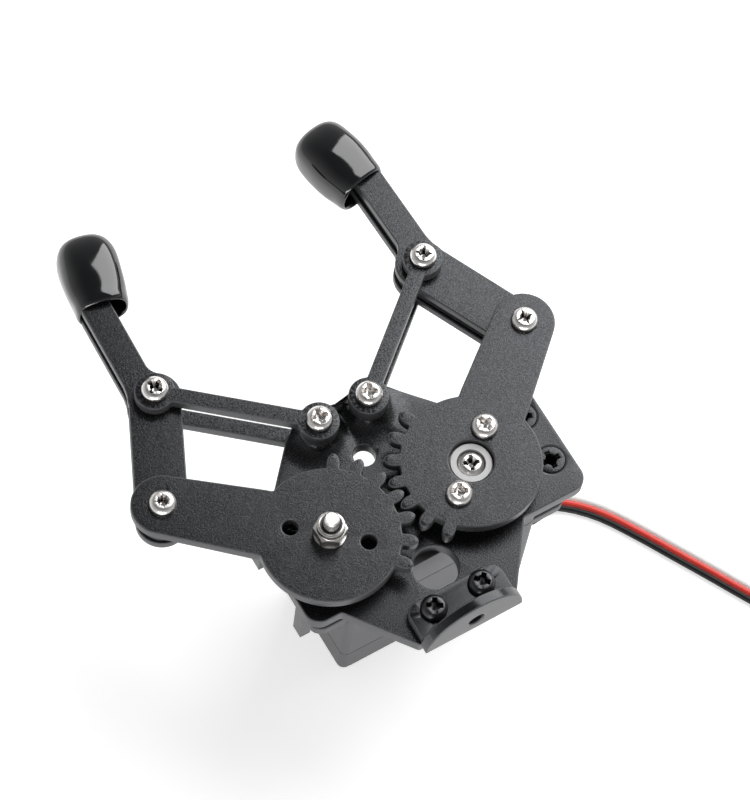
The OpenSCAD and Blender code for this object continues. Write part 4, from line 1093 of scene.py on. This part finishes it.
def make_nut_tree():
    """Places one nut on every point, each turned by a small random angle."""
    tree, given, result = new_tree(
        "set_of_nuts",
        [("Nut", "NodeSocketObject", None), ("Material", "NodeSocketMaterial", None), ("Seed", "NodeSocketInt", 1)],
    )
    nut = add_node(tree, "GeometryNodeObjectInfo", transform_space="ORIGINAL")
    tree.links.new(given.outputs["Nut"], nut.inputs["Object"])
    place_copies(tree, given, result, nut.outputs["Geometry"], MOST_NUT_TURN)
    return tree


NUTS = [
    ("tail_nuts", "bracket_nuts", "base", 2),
    ("plate_nuts", "servo_mount_nuts", "base", 3),
    ("pivot_nuts_base", "base_link_nuts", "base", 4),
    ("pivot_nut_right_arm", "right_arm_nut", "right_arm", 5),
    ("pivot_nut_left_arm", "left_arm_nut", "left_arm", 6),
    ("pivot_nut_right_finger", "right_link_nut", "right_finger", 7),
    ("pivot_nut_left_finger", "left_link_nut", "left_finger", 8),
]
nut_tree = make_nut_tree()
for name, node, body, seed in NUTS:
    low, high = box_in_mm(node)
    places = corner_places(low, high, hexagon_radius(30), NUT_FLATS / 2, 3)
    points = [Vector((x, y, low.z)) * MM for x, y in places]
    settings = {"Nut": plain_nut, "Material": plated_steel, "Seed": seed}
    piece = grown(name, points, nut_tree, settings, NUT_SHARP_ANGLE)
    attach(piece, body)
    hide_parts(node)
    print(name, "places", len(places))

# %% [markdown]
# ### The lock nut and its bolt
#
# The following gear turns on a bolt that stands up through the plate. A lock nut caps it, with
# enough play for the gear to turn: a low hexagon with a smooth round collar on top, crimped over
# a locking ring, and the bolt's chamfered tip stands well clear of it.

# %% Lock nut
LOCK_HEXAGON = 0.62
LOCK_COLLAR_FOOT = 0.58
COLLAR_STEPS = 64
RING_STEPS = 48
RING_SLOT = 1
LOCK_SHARP_ANGLE = 30

low, high = box_in_mm("idler_lock_nut")
nut_height = high.z - low.z
shape = bmesh.new()
nut_shape(shape, nut_height * LOCK_HEXAGON)
foot = nut_height * LOCK_COLLAR_FOOT
collar = [
    (2.62, foot), (2.62, nut_height - 0.5), (2.54, nut_height - 0.2), (2.36, nut_height - 0.04),
    (2.2, nut_height), (2.04, nut_height - 0.05), (1.97, nut_height - 0.2), (1.95, foot), (2.62, foot),
]  # fmt: skip
lathe(shape, in_metres(collar), COLLAR_STEPS)
locking_ring = [
    (1.96, foot + 0.3), (1.96, nut_height - 0.35), (1.72, nut_height - 0.35),
    (1.6, nut_height - 0.6), (1.6, foot + 0.3), (1.96, foot + 0.3),
]  # fmt: skip
lathe(shape, in_metres(locking_ring), RING_STEPS, RING_SLOT)
bmesh.ops.remove_doubles(shape, verts=shape.verts, dist=1e-7)
bmesh.ops.recalc_face_normals(shape, faces=shape.faces)
lock_nut = piece_from_bmesh("lock_nut", shape, [plated_steel, case_black], LOCK_SHARP_ANGLE)
lock_nut.data.transform(Matrix.Translation(Vector(((low.x + high.x) / 2, (low.y + high.y) / 2, low.z)) * MM))
settle_normals(lock_nut)
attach(lock_nut, "base")
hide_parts("idler_lock_nut")
print("lock nut faces", len(lock_nut.data.polygons))

# %% Idler bolt
IDLER_THREAD_DEPTH = 0.1
IDLER_CHAMFER = 0.25

low, high = box_in_mm("idler_bolt")
bolt_foot = Vector(((low.x + high.x) / 2, (low.y + high.y) / 2, low.z))
bolt_length = high.z - low.z
settings = {
    "Head": flat_head,
    "Length": bolt_length * MM,
    "Thread Depth": IDLER_THREAD_DEPTH * MM,
    "Chamfer": IDLER_CHAMFER * MM,
    "Material": plated_steel,
    "Seed": 2,
}
idler = grown("idler_bolt_turned", [Vector((0, 0, 0))], screw_tree, settings, HEAD_SHARP_ANGLE)
idler.data.transform(Matrix.Translation(bolt_foot * MM) @ Matrix.Rotation(math.pi, 4, "X"))
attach(idler, "base")
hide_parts("idler_bolt")
print("idler bolt length", round(bolt_length, 2))

# %% [markdown]
# ## Fingertip caps
#
# Each fingertip wears a dipped vinyl cap: a thick, glossy, squarish bulb, stretched over the
# finger so that its mouth stands open around it and shows a dark hollow. It is modelled as a
# subdivision surface from a few rings of a rounded square, from the inside out over the lip and
# on to the tip, so the lip is round and the wall has a real thickness. The left cap is a mirror
# image, but it is dipped and pushed on a little differently.

# %% Cap shape
ARM_PIVOT = Vector((38.364, 19.605))
CAP_MOUTH = Vector((-10.5, 40.4))
CAP_LEAN = 11.5
CAP_LENGTH = 15.7
CAP_INNER_END = 5.4
# Each ring gives its place along the cap, half width, half height and roundness.
CAP_RINGS = [
    (5.2, 3.2, 3.2, 0.95), (3.2, 3.75, 3.7, 0.9), (1.5, 4.15, 4.1, 0.85), (0.35, 4.35, 4.3, 0.85),
    (0.0, 4.6, 4.55, 0.8), (0.4, 4.95, 4.95, 0.75), (1.3, 5.2, 5.2, 0.75), (2.6, 5.25, 5.2, 0.73),
    (4.5, 5.65, 5.5, 0.71), (7.4, 5.85, 5.7, 0.71), (10.6, 5.85, 5.7, 0.71), (13.0, 5.55, 5.3, 0.73),
    (14.8, 4.4, 4.15, 0.8), (15.5, 2.5, 2.4, 1.0),
]  # fmt: skip
CAP_STEPS = 24
CAP_UNEVEN = 0.07
CAP_UNEVEN_SCALE = 0.2
CAP_SLIP = {1: 0.0, -1: 0.8}


def superellipse(angle, roundness):
    """Point on a rounded square: 1 is a circle, smaller values are squarer."""
    c, s = math.cos(angle), math.sin(angle)
    return math.copysign(abs(c) ** roundness, c), math.copysign(abs(s) ** roundness, s)


def cap_bmesh(seed):
    """The cap along +Y from its mouth at the origin, with small unevenness as dipping leaves."""
    shape = bmesh.new()
    rings = []
    for y, half_x, half_z, roundness in CAP_RINGS:
        ring = []
        for k in range(CAP_STEPS):
            a, b = superellipse(2 * math.pi * k / CAP_STEPS, roundness)
            point = Vector((half_x * a, y, half_z * b))
            swell = 1 + CAP_UNEVEN * noise.noise(point * CAP_UNEVEN_SCALE + Vector((seed, 0, 0)))
            point.x *= swell
            point.z *= swell
            ring.append(shape.verts.new(point * MM))
        rings.append(ring)
    for near, far in zip(rings, rings[1:]):
        for k in range(CAP_STEPS):
            j = (k + 1) % CAP_STEPS
            shape.faces.new((near[k], near[j], far[j], far[k]))
    for ring, y in ((rings[0], CAP_INNER_END), (rings[-1], CAP_LENGTH)):
        pole = shape.verts.new(Vector((0, y, 0)) * MM)
        for k in range(CAP_STEPS):
            shape.faces.new((ring[k], ring[(k + 1) % CAP_STEPS], pole))
    bmesh.ops.recalc_face_normals(shape, faces=shape.faces)
    return shape


def make_cap(side, name, node, body, seed):
    """A cap on one fingertip: side 1 is the right one, and side -1 its mirror image."""
    cap = piece_from_bmesh(name, cap_bmesh(seed), [dipped_vinyl], 180)
    smooth = cap.modifiers.new("smooth", "SUBSURF")
    smooth.levels = smooth.render_levels = 2
    applied(cap)
    low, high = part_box(node)
    lean = Matrix.Rotation(math.radians(CAP_LEAN), 4, "Z")
    mouth = ARM_PIVOT + CAP_MOUTH + CAP_SLIP[side] * (lean @ Vector((0, 1, 0))).to_2d()
    spot = Vector((mouth.x, mouth.y, 0)) * MM
    spot.z = (low[2] + high[2]) / 2
    cap.data.transform(Matrix.Translation(spot) @ lean)
    if side < 0:
        cap.data.transform(Matrix.Scale(-1, 4, (1, 0, 0)))
        cap.data.flip_normals()
    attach(cap, body)
    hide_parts(node)
    print(name, "faces", len(cap.data.polygons))


make_cap(1, "cap_right", "right_fingertip_cap", "right_finger", 1.3)
make_cap(-1, "cap_left", "left_fingertip_cap", "left_finger", 7.9)

# %% [markdown]
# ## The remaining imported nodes
#
# Washers, spacers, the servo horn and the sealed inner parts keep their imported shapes. Each gets
# the finish of what it is made of: nylon, brass, plated steel, green board.

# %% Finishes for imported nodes
NODE_FINISHES = {
    "servo_horn": horn_nylon,
    "idler_spacer": white_nylon,
    "idler_washer": plated_steel,
    "servo_case_screws": plated_steel,
    "servo_motor": plated_steel,
    "servo_circuit_board": board_green,
    "servo_potentiometer": case_black,
    "servo_gear_pin": plated_steel,
    "servo_output_bush": machined_brass,
    "servo_output_gear": machined_brass,
    "potentiometer_shaft": plated_steel,
    "motor_pinion": machined_brass,
    "servo_gear_1": white_nylon,
    "servo_gear_2": white_nylon,
    "servo_gear_3": white_nylon,
}
for name, finish in NODE_FINISHES.items():
    mesh = nodes[name].data
    mesh.materials.clear()
    mesh.materials.append(finish)
print("packed nodes dressed:", len(NODE_FINISHES))

# %% [markdown]
# ## Clear away the patterns
#
# The screw heads and the nut that the node trees copied were only patterns. They aren't part of
# the object, so they go before anything is measured.

# %% Remove patterns
for pattern in (pan_head, flat_head, plain_nut):
    bpy.data.objects.remove(pattern)
print("patterns removed")

# %% [markdown]
# ## Floor and light
#
# The object stands on a plain white floor, so large that its edge is never seen. The floor glows
# faintly to the camera and in reflections, so that it looks white there and still keeps the soft
# shadow. One soft lamp behind the object lends the vinyl and the screws their highlights, and a
# broad low one below the camera lights the sides. Everything else comes from the air around,
# which is brighter near the horizon than overhead.

# %% Floor
FLOOR_HALF = 3.0
FLOOR_GLOW = 0.55


def make_floor():
    """A square floor at height 0, in metres."""
    shape = bmesh.new()
    signs = ((-1, -1), (1, -1), (1, 1), (-1, 1))
    shape.faces.new([shape.verts.new((x * FLOOR_HALF, y * FLOOR_HALF, 0)) for x, y in signs])
    return piece_from_bmesh("floor", shape, [])


def floor_finish():
    """Diffuse white that glows for camera, mirror and see-through rays only."""
    material, tree, shader = new_finish("floor_white", (0.86, 0.86, 0.86), 0.7, Specular_IOR_Level=0.0)
    glow = add_node(tree, "ShaderNodeEmission", {"Color": (1, 1, 1, 1), "Strength": FLOOR_GLOW})
    path = tree.nodes.new("ShaderNodeLightPath")
    camera_or_mirror = math_node(tree, "MAXIMUM", path.outputs["Is Camera Ray"], path.outputs["Is Glossy Ray"])
    seen = math_node(tree, "MAXIMUM", camera_or_mirror, path.outputs["Is Transmission Ray"])
    both = tree.nodes.new("ShaderNodeAddShader")
    tree.links.new(shader.outputs[0], both.inputs[0])
    tree.links.new(glow.outputs[0], both.inputs[1])
    choice = tree.nodes.new("ShaderNodeMixShader")
    tree.links.new(seen, choice.inputs[0])
    tree.links.new(shader.outputs[0], choice.inputs[1])
    tree.links.new(both.outputs[0], choice.inputs[2])
    tree.links.new(choice.outputs[0], tree.nodes["Material Output"].inputs["Surface"])
    return material


floor = make_floor()
floor.data.materials.append(floor_finish())
print("floor half size", FLOOR_HALF, "m")

# %% Lamps
LAMP_AIM = (0.005, 0.02, 0.03)


def soft_lamp(name, place, size, power):
    """A rectangular area lamp at a place in metres, aimed at the middle of the object."""
    data = bpy.data.lights.new(name, "AREA")
    data.shape = "RECTANGLE"
    data.size, data.size_y = size
    data.energy = power
    lamp = bpy.data.objects.new(name, data)
    direction = Vector(LAMP_AIM) - Vector(place)
    lamp.matrix_world = Matrix.Translation(place) @ direction.to_track_quat("-Z", "Y").to_matrix().to_4x4()
    bpy.context.scene.collection.objects.link(lamp)
    print("lamp", name, "power", power)


soft_lamp("softbox", (0.349, 0.145, 0.371), (0.41, 0.53), 3.0)
soft_lamp("low_front", (-0.5, -0.7, 0.15), (0.7, 0.25), 4.0)

# %% Air
AIR_AT_HORIZON = 0.7
AIR_OVERHEAD = 0.1
OVERHEAD_FROM = 0.95

world = bpy.data.worlds.new("studio_air")
world.use_nodes = True
air = world.node_tree.nodes["Background"]
air.inputs["Strength"].default_value = 1.0
direction = add_node(world.node_tree, "ShaderNodeTexCoord")
parts = add_node(world.node_tree, "ShaderNodeSeparateXYZ")
join(world.node_tree, direction, "Generated", parts, "Vector")
haze = add_node(
    world.node_tree,
    "ShaderNodeMapRange",
    {"From Min": 0.0, "From Max": OVERHEAD_FROM, "To Min": AIR_AT_HORIZON, "To Max": AIR_OVERHEAD},
)
join(world.node_tree, parts, "Z", haze, "Value")
join(world.node_tree, haze, "Result", air, "Color")
bpy.context.scene.world = world
bpy.context.scene.view_settings.view_transform = "Standard"
print("air from", AIR_AT_HORIZON, "to", AIR_OVERHEAD)

# %% Update the scene
bpy.context.view_layer.update()
